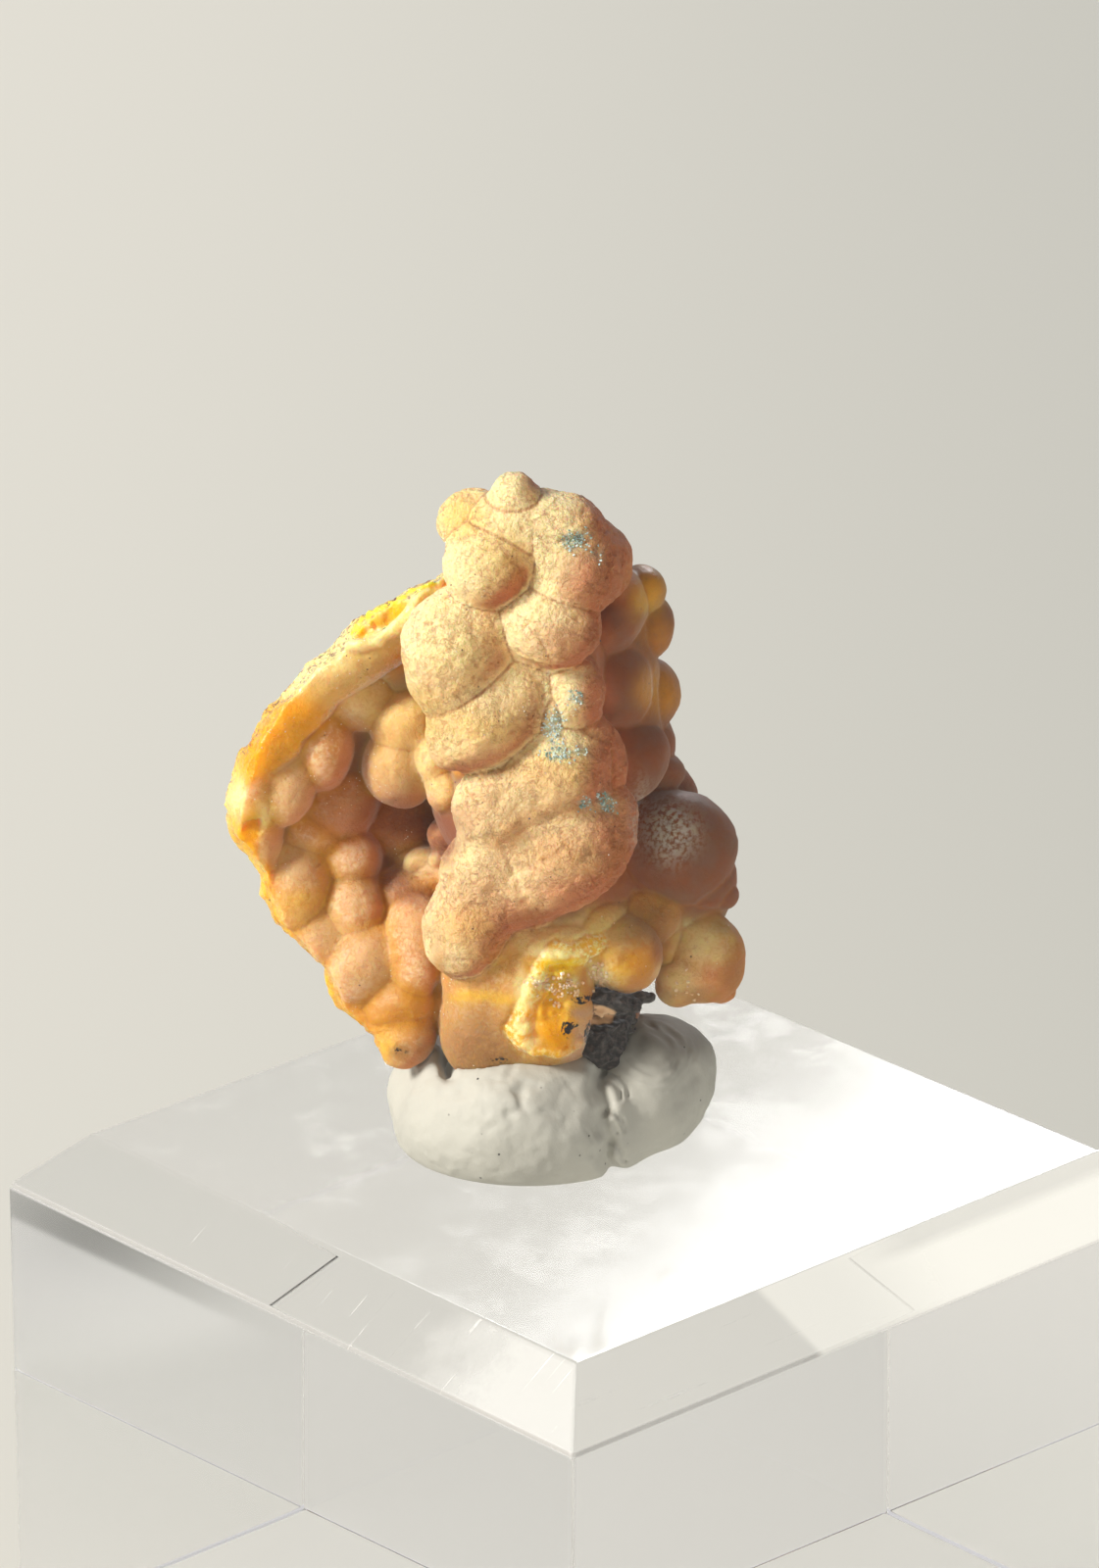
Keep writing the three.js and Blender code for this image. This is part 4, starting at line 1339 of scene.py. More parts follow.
# %% [markdown]
# ## The whole finish
#
# The broken places lie over the whole lumps: bands of amber, honey and cream along the rim,
# yellow sections, orange hollows. The amber and honey bands are partly a painted glow of light
# through the thin rim. Creases and the grain's low spots are painted darker, partly as painted
# shade, and the grain's tops paler, as a painted highlight. Then come stains, specks and black
# oxide. A matte skin and a waxy skin share these colours, and the column's share mixes the two.

# %% The mimetite
MATTE_GLOW = (1.0, 0.36, 0.12)
MATTE_GLOW_REACH = 0.7
WAXY_GLOW = (1.0, 0.38, 0.10)
WAXY_GLOW_REACH = 1.0


def mimetite():
    f = Finish("mimetite")
    matte = f.noted("column")
    mottling = f.noise(1.4, 4.0)
    fine = f.noise(0.20, 3.5, 0.6)
    scales = f.noise(0.42, 4.0, 0.6)
    wrinkle = f.between(scales.away(0.5), 0.03, 0.0) * f.between(f.noise(1.1), 0.42, 0.55)
    pit = f.between(f.cells(0.40), 0.20, 0.10) * f.between(f.noise(0.9), 0.52, 0.64)
    dusty = (0.35 + 0.65 * matte) * (1.0 - f.noted("flank"))
    gap = f.noted("rim_gap") + 0.7 * (mottling - 0.5)

    shade = grown_colour(f, mottling, fine)
    # Painted shade, partly the crust's own colour: the creases turn rust.
    shade = f.colour(f.between(f.noted("valley"), 0.12, 0.0) * (0.3 + 0.35 * matte), shade, RUST)
    # Painted shade in the grain's low spots and wrinkles, in ember; pits are russet; a painted highlight of
    # cream on the grain's tops.
    low = (f.noted("low_spot") * 0.6 + f.between(fine, 0.46, 0.32) + 0.9 * wrinkle).clamped()
    shade = f.colour(low * dusty * 0.24, shade, EMBER)
    shade = f.colour(pit * dusty * 0.5, shade, RUSSET)
    shade = f.colour(f.between(fine, 0.58, 0.72) * dusty * 0.22, shade, CREAM)
    ring = f.colour(f.between(mottling, 0.35, 0.65), GOLD, HONEY)
    shade = f.colour(f.noted("in_ring") * 0.8, shade, ring)
    shade = f.colour(f.noted("ring"), shade, f.colour(f.between(fine, 0.4, 0.65), ring, CREAM))
    lower = f.noted("lower_rim")
    # The amber and honey bands inside the rim are partly a painted glow of light through the thin rim.
    shade = f.colour(f.between(gap, 3.4, 2.4) * 0.5, shade, AMBER)
    shade = f.colour(f.between(gap, 2.6, 1.7) * 0.8, shade, f.colour(lower, OLIVE, HONEY))
    broken_face = f.colour(f.between(fine + 0.5 * mottling, 0.7, 1.0), HONEY, YOLK)
    broken_face = f.colour(lower, f.colour(f.between(mottling, 0.35, 0.6), OLIVE, GOLD), broken_face)
    shade = f.colour(f.noted("broken"), shade, broken_face)
    shade = f.colour(f.between(gap, 1.7, 0.9) * 0.8, shade, f.colour(lower, OLIVE, GOLD))
    shade = f.colour(f.between(gap, 0.8, 0.35) * (0.85 - 0.6 * lower), shade, CREAM)
    for name, colour in BROKEN_TINTS.items():
        shade = f.colour(f.noted(name) * f.between(fine, 0.1, 0.45), shade, colour)
    shade = f.colour(f.noted("rim wall") * 0.9, shade, CREAM)
    shade = f.colour(f.noted("rim ridge") * 0.9, shade, LEMON)
    shade = f.colour(f.noted("verdigris") * f.between(fine, 0.36, 0.55) * 0.7, shade, TURQUOISE)
    pepper = f.noted("outward") * f.between(gap, 0.9, 0.1) * f.between(fine, 0.52, 0.58)
    specks = f.specks(0.62, 2.2, 0.50, 0.60)
    shade = f.colour((pepper + specks).clamped(), shade, UMBER)
    film = f.noted("oxide_film") * f.between(0.65 * mottling + 0.35 * scales, 0.40, 0.60)
    shade = f.colour(f.between(film, 0.1, 0.7) * 0.85, shade, SOOT)
    soot = 1.3 * f.noted("black") * f.between(fine, 0.35, 0.6)
    shade = f.colour(f.between(soot, 0.2, 0.45), shade, SOOT)

    grain = f.bump(scales * dusty, 0.22)
    grain = f.bump((fine - 0.5 * wrinkle - 0.5 * pit) * (0.15 + 0.85 * dusty), 0.12, 1.0, grain)
    glassy = f.between(gap, 3.0, 2.0) + f.noted("broken") + f.noted("ring") + f.noted("in_ring")
    glassy = (glassy + f.noted("amber") + f.noted("orange") + f.noted("yolk")).clamped()
    matte_skin = f.shader(
        Base_Color=shade, Roughness=0.6 + 0.2 * fine, Normal=grain, IOR=1.55,
        Subsurface_Weight=0.5, Subsurface_Radius=MATTE_GLOW, Subsurface_Scale=MATTE_GLOW_REACH * MM,
    )
    waxy_skin = f.shader(
        Base_Color=shade, Roughness=0.5 + 0.15 * fine - 0.32 * glassy, Normal=grain, IOR=1.5,
        Subsurface_Weight=0.8, Subsurface_Radius=WAXY_GLOW, Subsurface_Scale=WAXY_GLOW_REACH * MM,
    )
    return f.finished(f.mixed(matte, waxy_skin, matte_skin))


crust.data.materials.append(mimetite())
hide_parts("mimetite_crust")
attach(crust, "root")
print(crust.name, "is finished in mimetite")

# %% [markdown]
# ## Small crystals
#
# Many small things of one kind are scattered by Geometry Nodes: turquoise crystals in the
# stains, bright grains on the dusty lumps, crumbs in the broken bubbles and black specks of
# oxide. One tree makes them all. It drops points on the crust, most where a noted number is
# high, sets a small six-sided crystal on each with a random size and tilt, and is baked.

# %% A tree that scatters crystals
TREE_INPUTS = {
    "Geometry": "Geometry", "Where": "String", "Density": "Float", "Size": "Float",
    "Seed": "Int", "Finish": "Material",
}
CRYSTAL_SIDES = 6
SLIMMEST = (0.5, 0.5, 0.5)
FATTEST = (1.2, 1.2, 1.4)
MOST_TILT = (1.0, 1.0, pi)
LEAST_TILT = (-1.0, -1.0, -pi)


def crystal_tree():
    """Drops crystals on a mesh where a named number is high."""
    tree = bpy.data.node_groups.new("crystals", "GeometryNodeTree")
    for name, kind in TREE_INPUTS.items():
        tree.interface.new_socket(name, in_out="INPUT", socket_type="NodeSocket" + kind)
    tree.interface.new_socket("Geometry", in_out="OUTPUT", socket_type="NodeSocketGeometry")

    def node(kind, settings={}, sockets={}):
        made = tree.nodes.new(kind)
        for name, value in settings.items():
            setattr(made, name, value)
        for name, value in sockets.items():
            if isinstance(value, bpy.types.NodeSocket):
                tree.links.new(value, made.inputs[name])
            else:
                made.inputs[name].default_value = value
        return made.outputs

    given = node("NodeGroupInput")
    noted = {"Name": given["Where"]}
    where = node("GeometryNodeInputNamedAttribute", {"data_type": "FLOAT"}, noted)["Attribute"]
    density = node("ShaderNodeMath", {"operation": "MULTIPLY"}, {0: where, 1: given["Density"]})[0]
    points = node(
        "GeometryNodeDistributePointsOnFaces", {},
        {"Mesh": given["Geometry"], "Density": density, "Seed": given["Seed"]},
    )
    crystal = node("GeometryNodeMeshCylinder", {}, {"Vertices": CRYSTAL_SIDES, "Radius": 0.5, "Depth": 0.9})
    random_vector = {"data_type": "FLOAT_VECTOR"}
    shape = node("FunctionNodeRandomValue", random_vector, {0: SLIMMEST, 1: FATTEST, "Seed": 1})[0]
    scale = node("ShaderNodeVectorMath", {"operation": "SCALE"}, {0: shape, "Scale": given["Size"]})[0]
    angles = node("FunctionNodeRandomValue", random_vector, {0: LEAST_TILT, 1: MOST_TILT, "Seed": 2})[0]
    tilt = node("FunctionNodeEulerToRotation", {}, {0: angles})[0]
    upright = points["Rotation"]
    turned = node("FunctionNodeRotateRotation", {"rotation_space": "LOCAL"}, {0: upright, 1: tilt})[0]
    set_out = node(
        "GeometryNodeInstanceOnPoints", {},
        {"Points": points["Points"], "Instance": crystal["Mesh"], "Rotation": turned, "Scale": scale},
    )[0]
    real = node("GeometryNodeRealizeInstances", {}, {"Geometry": set_out})[0]
    finished = node("GeometryNodeSetMaterial", {}, {"Geometry": real, "Material": given["Finish"]})[0]
    node("NodeGroupOutput", {}, {"Geometry": finished})
    return tree


CRYSTALS = crystal_tree()
print("the crystal tree has", len(CRYSTALS.nodes), "nodes")

# %% [markdown]
# ## Where the crystals go
#
# Each call of `scatter` gives the tree its inputs, bakes what it makes and keeps the crystals
# inside the solid's box. The kinds differ in colour, gloss, size and number.

# %% Scatter the crystals
def scatter(name, where, per_square_mm, size, seed, finish):
    """Crystals, `size` mm long, as a piece of their own."""
    piece = bpy.data.objects.new(name, crust.data.copy())
    bpy.context.scene.collection.objects.link(piece)
    modifier = piece.modifiers.new("crystals", "NODES")
    modifier.node_group = CRYSTALS
    values = {
        "Where": where, "Density": per_square_mm / MM ** 2, "Size": size * MM, "Seed": seed,
        "Finish": finish,
    }
    for socket in CRYSTALS.interface.items_tree:
        if socket.name in values:
            modifier[socket.identifier] = values[socket.name]
    baked(piece)
    move_corners(piece, np.clip(corners_of(piece), crust_low + INSIDE, crust_high - INSIDE))
    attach(piece, "root")
    print(name, "has", len(piece.data.polygons) // (CRYSTAL_SIDES + 2), "crystals")


def crystal_finish(name, low, high, roughness):
    """A glassy finish, from one colour to another."""
    f = Finish(name)
    colour = f.colour(f.between(f.noise(0.5), 0.4, 0.6), low, high)
    return f.surface(
        Base_Color=colour, Roughness=roughness, IOR=1.9, Subsurface_Weight=0.4,
        Subsurface_Radius=(1.0, 0.6, 0.3), Subsurface_Scale=0.3 * MM,
    )


turquoise = crystal_finish("turquoise crystals", (0.22, 0.34, 0.28), (0.66, 0.76, 0.66), 0.4)
bright = crystal_finish("bright grains", (0.96, 0.74, 0.42), (1.0, 0.92, 0.72), 0.2)
crumb = crystal_finish("crumbs", (0.80, 0.47, 0.23), (0.96, 0.74, 0.48), 0.45)
dark = crystal_finish("dark specks", (0.07, 0.045, 0.03), (0.20, 0.10, 0.05), 0.5)
scatter("turquoise_crystals", "verdigris", 60.0, 0.11, 1, turquoise)
# The bright grains lie only where dust faces the sun, so they are partly a painted glint.
scatter("bright_grains", "dusty", 6.0, 0.055, 2, bright)
scatter("crumbs", "crumbly", 45.0, 0.15, 3, crumb)
scatter("dark_specks", "speckled", 0.6, 0.08, 4, dark)

# %% [markdown]
# ## Putty
#
# Mineral tack is pressed by hand: a few fat lobes with deep folds between them, little pits,
# and the ridges of a fingertip on the right lobe. It is the same clay method, with wide
# creases, a flat foot on the block, and the shape of the crust pressed out of it.

# %% The putty's lobes and folds
PUTTY = [
    (-3, 1, -0.1, 6.1, 3.9, 6),
    (1.95, 2.5, 1.2, 3.6, 3.25, 4.5, 35),
    (-7, 2.4, 1.8, 2.35, 2.4, 3),
    (-1.8, 3.2, 4, 5, 3, 3.8),
    (-7.35, 3.1, -0.5, 0.75, 1.3, 1.2),
    (3.6, 3.6, 1.6, 1.6, 1.5, 2.2),
]
PUTTY_VOXEL = 0.11
FOLD = 0.5
CONTACT = 0.06
# Folds and curls, as they are seen: depth, width, then the line.
FOLDS = [
    (0.55, 0.36, [
        (0.45, 3.3), (0.15, 2.4), (0.55, 1.6), (0.25, 0.9), (0.7, 0.2), (0.45, -0.6), (0.8, -1.5),
    ]),
    (0.16, 0.10, [(0.4, 2.95), (0.95, 2.85), (1.4, 2.5), (1.5, 2.0)]),
    (0.16, 0.09, [(0.45, 2.55), (0.85, 2.5), (1.15, 2.2), (1.2, 1.8)]),
    (0.16, 0.09, [(0.5, 1.35), (0.95, 1.3), (1.3, 1.0), (1.4, 0.6)]),
    (0.16, 0.09, [(0.5, 0.95), (0.85, 0.85), (1.05, 0.5)]),
    (0.16, 0.09, [(0.6, 0.1), (1.05, 0.0), (1.35, -0.4), (1.35, -0.8)]),
    (0.12, 0.12, [(-0.3, 0.6), (0.0, 0.1), (-0.15, -0.5)]),
    (0.80, 0.22, [(-6.75, 4.7), (-6.7, 3.8), (-6.65, 2.9)]),
    (0.14, 0.25, [(2.4, 5.2), (3.4, 4.2), (3.9, 3.0), (3.8, 1.8)]),
    (0.12, 0.22, [(3.2, 5.0), (4.2, 3.9), (4.6, 2.8)]),
]
print("lobes:", len(PUTTY), "and folds:", len(FOLDS))

# %% [markdown]
# ## Pressing the putty
#
# The lobes go into their own clay and the crust's lower forms are pressed out of it. The folds
# are pressed in where they are seen, and the underside is cut flat. Humps, pits and the curved
# ridges of a fingertip then move the corners of the finished skin.

# %% Press the putty
RIDGE_SPACING = 0.48
RIDGE_CENTRE = seen(3.4, 5.0, -2.6)
RIDGE_STRETCH = np.array((1.0, 0.8, 1.3))
RIDGE_HEIGHT = 0.025
NEAR_PUTTY = 1.0
PITTED = (-3.8, 1.9, 1.6, 1.1)
# Where the right lobe is painted darker: dirt together with the painted shade of the crust.
SOILED_AND_SHADED = (3.2, 4.6, 2.4, 1.7)


def press_out_crust(clay, top):
    """Cuts the crust's lower forms out of clay that ends at height `top`."""
    for form in crust_forms:
        if form[0][2] - form[1].max() < top + NEAR_PUTTY:
            clay.cut(form, CONTACT)


def soft_oval(across, up, oval):
    """1 in the middle of an oval, as seen, and fading to 0 round it."""
    at_across, at_up, wide, high = oval
    return np.exp(-(((across - at_across) / wide) ** 2 + ((up - at_up) / high) ** 2))


def fingerprint(points):
    """Curved ridges of a fingertip, on the right lobe."""
    far = np.linalg.norm((points - RIDGE_CENTRE) * RIDGE_STRETCH, axis=1)
    wobble = 0.35 * humps(points, 2.2, 81)
    patch = smooth_step(0.6, 1.6, points[:, 0]) * smooth_step(4.4, 3.0, far)
    return patch * np.sin(2.0 * pi * (far + wobble) / RIDGE_SPACING)


def fold_putty(points, far):
    """Presses the folds into the putty's front."""
    across, up = as_seen(points)
    across = across + 0.12 * humps(points, 1.1, 82) + 0.06 * humps(points, 0.5, 83)
    front = smooth_step(3.0, 0.0, points[:, 1])
    for depth, width, line in FOLDS:
        far = far + front * depth * np.exp(-((far_from(line, across, up) / width) ** 2))
    return np.maximum(far, BLOCK_TOP + 0.01 - points[:, 2])


putty_clay, _, putty_high = clay_for(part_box("putty"), PUTTY_VOXEL)
for row in PUTTY:
    putty_clay.add([seen_form(row)], 0.0, FOLD)
press_out_crust(putty_clay, putty_high[2])
putty_clay.reshape(FAR - 0.1, fold_putty)
putty = make_mesh("putty_dressed", *putty_clay.skin())
putty_points = corners_of(putty)
lift = 0.09 * rough(putty_points, 1.9, 85) + 0.03 * rough(putty_points, 0.5, 88, 2)
lift += RIDGE_HEIGHT * fingerprint(putty_points)
putty_across, putty_up = as_seen(putty_points)
pitted = soft_oval(putty_across, putty_up, PITTED)
lift -= 0.30 * pitted * np.clip(humps(putty_points, 0.5, 89) - 0.15, 0.0, 1.0)
lift *= smooth_step(BLOCK_TOP, BLOCK_TOP + 0.5, putty_points[:, 2])
# Dirt and painted shade of the crust, on the right lobe.
soiled_and_shaded = soft_oval(putty_across, putty_up, SOILED_AND_SHADED)
note(putty, "soiled_and_shaded", smooth_step(0.15, 0.8, soiled_and_shaded + 0.12 * rough(putty_points, 1.5, 97)))
putty_points = warped(putty_points) + normals_of(putty) * lift[:, None]
putty_points[:, 2] = np.maximum(putty_points[:, 2], BLOCK_TOP + 0.005)
move_corners(putty, putty_points)
print("putty:", len(putty.data.polygons), "faces")

# %% [markdown]
# ## The putty's finish
#
# Mineral tack is a dull pale grey. Handling darkens it here and there, and the right lobe is
# painted darker still, with dirt and the painted shade of the crust together. Dark specks of the
# specimen stick to it.

# %% The putty's finish
PUTTY_GREY = (0.50, 0.49, 0.43)
PUTTY_DARK = (0.36, 0.35, 0.31)
PUTTY_SOILED_AND_SHADED = (0.27, 0.26, 0.225)


def grey_putty():
    f = Finish("putty")
    cloud = f.noise(2.5, 3.0)
    fine = f.noise(0.3, 4.0, 0.6)
    grey = f.colour(f.between(cloud, 0.4, 0.75) * 0.35, PUTTY_GREY, PUTTY_DARK)
    # Dirt and painted shade of the crust darken the right lobe.
    grey = f.colour(f.noted("soiled_and_shaded") * 0.85, grey, PUTTY_SOILED_AND_SHADED)
    grey = f.colour(f.specks(0.8, 1.8, 0.45, 0.6), grey, SOOT)
    grain = f.bump(fine, 0.05, 0.5)
    return f.surface(
        Base_Color=grey, Roughness=0.6 + 0.15 * fine, Normal=grain,
        Subsurface_Weight=0.1, Subsurface_Radius=(1.0, 0.9, 0.8), Subsurface_Scale=0.3 * MM,
    )


putty.data.materials.append(grey_putty())
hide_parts("putty")
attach(putty, "root")
print(putty.name, "is finished in grey putty")

# %% [markdown]
# ## Black oxide
#
# The crust grew on black manganese oxide. A ragged, flaky remnant still clings under the
# foot and runs down into the putty.

# %% Shape the black oxide
OXIDE = [
    (0.55, 6.25, -1.4, 1.55, 0.66, 1.6, -4),
    (0.3, 4.7, -1, 1.25, 1.6, 1.6, 12),
    (0.95, 5.5, -0.3, 0.8, 1.3, 1.3),
    (-0.85, 4.95, -2.4, 0.85, 0.5, 1, 28),
    (1.8, 6.55, -1.2, 0.85, 0.2, 0.5, -3),
]
# A chip of tan crust lies on the oxide, as seen: across, up, half width, half height.
CHIP = (0.1, 5.75, 0.85, 0.40)
OXIDE_VOXEL = 0.07
OXIDE_CREASE = 0.1


def flake(points, far):
    """Eats level, ragged flakes into the oxide."""
    across, up = as_seen(points)
    flat = np.column_stack((across, 2.2 * up, points[:, 1]))
    ragged = 0.42 * np.abs(humps(flat, 0.9, 91)) + 0.26 * np.abs(humps(points, 0.42, 92)) - 0.16
    return far + ragged + 0.08 * humps(points, 0.2, 93)


oxide_clay, _, oxide_high = clay_for(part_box("oxide_matrix"), OXIDE_VOXEL)
for row in OXIDE:
    oxide_clay.add([seen_form(row)], 0.0, OXIDE_CREASE)
oxide_clay.reshape(FAR - 0.1, flake)
press_out_crust(oxide_clay, oxide_high[2])
oxide = make_mesh("oxide_matrix_dressed", *oxide_clay.skin())
oxide_points = corners_of(oxide)
oxide_across, oxide_up = as_seen(oxide_points)
chip = ((oxide_across - CHIP[0]) / CHIP[2]) ** 2 + ((oxide_up - CHIP[1]) / CHIP[3]) ** 2
chip = smooth_step(1.25, 0.85, chip + 0.5 * rough(oxide_points, 0.6, 95))
chip *= smooth_step(-0.1, 0.3, normals_of(oxide) @ -SIGHT_LINE)
note(oxide, "chip", chip)
move_corners(oxide, warped(oxide_points))
print("oxide:", len(oxide.data.polygons), "faces")

# %% [markdown]
# ## The oxide's finish
#
# Manganese oxide is nearly black, and browner here and there. A chip of tan crust is stuck to
# it.

# %% The black oxide
OXIDE_BLACK = (0.034, 0.032, 0.032)
OXIDE_BROWN = (0.13, 0.11, 0.098)
CHIP_TAN = (0.72, 0.46, 0.26)


def black_oxide():
    f = Finish("black oxide")
    fine = f.noise(0.25, 4.0, 0.7)
    black = f.colour(f.between(fine, 0.4, 0.75), OXIDE_BLACK, OXIDE_BROWN)
    black = f.colour(f.noted("chip"), black, CHIP_TAN)
    return f.surface(Base_Color=black, Roughness=0.45 + 0.35 * fine, Normal=f.bump(fine, 0.06, 0.7))


oxide.data.materials.append(black_oxide())
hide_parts("oxide_matrix")
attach(oxide, "root")
print(oxide.name, "is finished in black oxide")

# %% [markdown]
# ## The clear block
#
# The block is cast acrylic with a polished bevel round its top. Its plan is a turned square.
# Every edge is very slightly rounded, because a perfectly sharp edge would catch no light.
#
# The photograph shows no shadow of the block and no mirror image of the specimen in it. So the
# block is left out of shadows and of the light that matte pieces gather, and the other pieces
# are left out of reflections.

# %% The block
BLOCK_SIDE = 38.1
BEVEL_WIDTH = 2.7
BEVEL_HEIGHT = 2.6
BLOCK_TURN = radians(42.8)
EDGE_RADIUS = 0.22
EDGE_SEGMENTS = 3


def block_ring(half, height):
    """The four corners of the turned square at one height."""
    square = np.array([(-half, -half), (half, -half), (half, half), (-half, half)])
    turn = np.array([(cos(BLOCK_TURN), sin(BLOCK_TURN)), (-sin(BLOCK_TURN), cos(BLOCK_TURN))])
    return np.column_stack((square @ turn, np.full(4, height)))


half = BLOCK_SIDE / 2
block_corners = np.vstack((
    block_ring(half, 0.0),
    block_ring(half, BLOCK_TOP - BEVEL_HEIGHT),
    block_ring(half - BEVEL_WIDTH, BLOCK_TOP),
))
block_faces = [(3, 2, 1, 0), (8, 9, 10, 11)]
for low_ring in (0, 4):
    for side in range(4):
        after = (side + 1) % 4
        low_left, low_right = low_ring + side, low_ring + after
        block_faces.append((low_left, low_right, low_right + 4, low_left + 4))
block = make_mesh("display_block_dressed", block_corners, np.array(block_faces))
rounding = block.modifiers.new("rounding", "BEVEL")
rounding.width = EDGE_RADIUS * MM
rounding.segments = EDGE_SEGMENTS
rounding.harden_normals = True
baked(block)
for piece in (crust, putty, oxide):
    piece.visible_glossy = False
block.visible_shadow = False
block.visible_diffuse = False
print("block:", len(block.data.polygons), "faces")

# %% [markdown]
# ## The clear finish
#
# Clear plastic is all transmission and its index of refraction. Its life shows on it: haze on
# the top, scratches and a worn left bevel, whose pale frosting also stands in for light seen
# through the bevel. A grey line where the bevel meets the sides is painted shade, and a stretch
# of the right bevel glows as a painted reflection of the window. Each is a mask in millimetres
# along the two front edges, and it mixes in a matte surface, pale for wear and grey for the
# line, or a glowing one.

# %% The clear acrylic
ACRYLIC = (0.96, 0.965, 0.995)
ACRYLIC_IOR = 1.49
SCUFFED = (0.9, 0.9, 0.88)
EDGE_GREY = (0.42, 0.41, 0.39)
LIT_BEVEL = (0.97, 0.94, 0.84)
BLACK = (0.0, 0.0, 0.0)
SHOULDER = BLOCK_TOP - BEVEL_HEIGHT
BEVEL_FADE = 0.1

top_edge = block_ring(half, BLOCK_TOP)
front_corner = top_edge[top_edge[:, 1].argmin()]
to_left = top_edge[top_edge[:, 0].argmin()] - front_corner
to_right = top_edge[top_edge[:, 0].argmax()] - front_corner


def clear_acrylic():
    f = Finish("clear acrylic")
    x, y, z = f.axes()
    z = z * (1.0 / MM)

    def along(edge):
        """Millimetres from the front corner along an edge of the top."""
        ux, uy = edge[:2] / BLOCK_SIDE
        start = float(front_corner[:2] @ edge[:2] / BLOCK_SIDE)
        return x * (ux / MM) + y * (uy / MM) - start

    left, right = along(to_left), along(to_right)
    upper = f.between(z, SHOULDER - 0.2, SHOULDER)
    on_left = f.between(right, BEVEL_WIDTH + BEVEL_FADE, BEVEL_WIDTH) * f.between(left - right, 0.0, 0.05)
    on_left = on_left * upper
    on_right = f.between(left, BEVEL_WIDTH + BEVEL_FADE, BEVEL_WIDTH) * f.between(right - left, 0.0, 0.05)
    on_right = on_right * upper
    top = f.between(z, BLOCK_TOP - 0.1, BLOCK_TOP - 0.02)
    haze = f.noise(3.0, 5.0, 0.7)
    streaks = f.add("ShaderNodeCombineXYZ", {}, {0: left * 3.5 + z * 0.9, 1: right * 0.1, 2: z * 0.1})
    scratch = f.add("ShaderNodeTexNoise", {}, {"Vector": streaks, "Scale": 1.0, "Detail": 3.0}, "Fac")
    scratch = f.between(scratch, 0.64, 0.72) * f.between(f.noise(1.6), 0.45, 0.6)
    # Partly wear, partly a pale stand-in for light seen through the left bevel.
    frosted = 0.36 * f.between(left + 8.0 * haze, 16.0, 9.0)
    # Painted shade: a grey line where the bevel meets the sides.
    edge = f.between(z.away(SHOULDER), 0.15, 0.05)
    wear_and_painted_light = on_left * (frosted + 0.5 * scratch * f.between(left, 29.0, 24.0))
    wear_and_painted_light = wear_and_painted_light + 0.3 * scratch * on_right
    wear_and_painted_light = wear_and_painted_light + 0.12 * top * f.between(haze, 0.55, 0.75)
    wear_and_painted_light = wear_and_painted_light + 0.5 * edge
    # A painted reflection: the right bevel glows where it catches the window.
    lit = on_right * f.between(right + 0.5 * z, 26.0, 26.6) * (0.55 + 0.4 * f.between(right, 17.0, 25.0))
    near_top = f.between(z, BLOCK_TOP - 0.9, BLOCK_TOP - 0.4)
    lit = lit * (1.0 - 0.6 * f.between(right, 19.0, 23.0) * near_top)
    clear = f.shader(
        Base_Color=ACRYLIC, Roughness=top * (0.09 + 0.08 * f.between(haze, 0.45, 0.75)),
        IOR=ACRYLIC_IOR, Transmission_Weight=1.0,
    )
    # Wear, with the pale stand-in for light and the painted grey line.
    scuffed_and_painted_light = f.shader(Base_Color=f.colour(edge, SCUFFED, EDGE_GREY), Roughness=0.5)
    glowing = f.shader(Base_Color=BLACK, Emission_Color=LIT_BEVEL, Emission_Strength=1.0)
    return f.finished(f.mixed(lit, f.mixed(wear_and_painted_light.clamped(), clear, scuffed_and_painted_light), glowing))


block.data.materials.append(clear_acrylic())
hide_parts("display_block")
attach(block, "root")
print(block.name, "is finished in clear acrylic")

# %% [markdown]
# ## The floor
#
# The block stands on a pale floor that is a little darker on the right, away from the light. A
# real clear block gathers light and throws it on the floor under its right corner. Tracing
# that would be slow and noisy, so a pool of light is painted there, where it shows through
# the block. The floor lies a hair above the block's underside, so that it shows through it.

# %% The floor
FLOOR_REACH = 3.0
FLOOR_HEIGHT = 0.02
FLOOR_LEFT = (0.745, 0.74, 0.69)
FLOOR_RIGHT = (0.535, 0.54, 0.505)
POOL_AT = (0.030, 0.013)
POOL_OUTSIDE = 0.017
POOL_INSIDE = 0.002
POOL_LIGHT = (0.29, 0.28, 0.26)


def pale_floor():
    f = Finish("pale floor")
    x, y, _ = f.axes()
    pale = f.colour(f.between(x, -0.06, 0.06), FLOOR_LEFT, FLOOR_RIGHT)
    beyond = x * (cos(BLOCK_TURN) / MM) + y * (sin(BLOCK_TURN) / MM)
    from_pool = ((x - POOL_AT[0]) ** 2.0 + (y - POOL_AT[1]) ** 2.0) ** 0.5
    pool = f.between(beyond, 30.6, 29.8) * f.between(from_pool, POOL_OUTSIDE, POOL_INSIDE)
    pool = f.colour(pool, BLACK, POOL_LIGHT)
    return f.surface(Base_Color=pale, Roughness=0.9, Emission_Color=pool, Emission_Strength=1.0)


ONE_FACE = np.array([(0, 1, 2, 3)])
floor_corners = FLOOR_REACH / MM * np.array([(-1, -1, 0), (1, -1, 0), (1, 1, 0), (-1, 1, 0)])
floor = make_mesh("floor", floor_corners + np.array((0.0, 0.0, FLOOR_HEIGHT)), ONE_FACE)
floor.data.materials.append(pale_floor())
print("the floor reaches", FLOOR_REACH, "m each way")

# %% [markdown]
# ## The sun
#
# The photograph was taken in low sun from the left, softened by haze or a thin curtain, which
# is why its shadows have wide edges.

# %% The sun
SUN_FROM = Vector((-0.77, -0.28, 0.574))
SUN_STRENGTH = 4.4
SUN_WIDTH = radians(16.0)
SUN_COLOUR = (1.0, 0.965, 0.91)

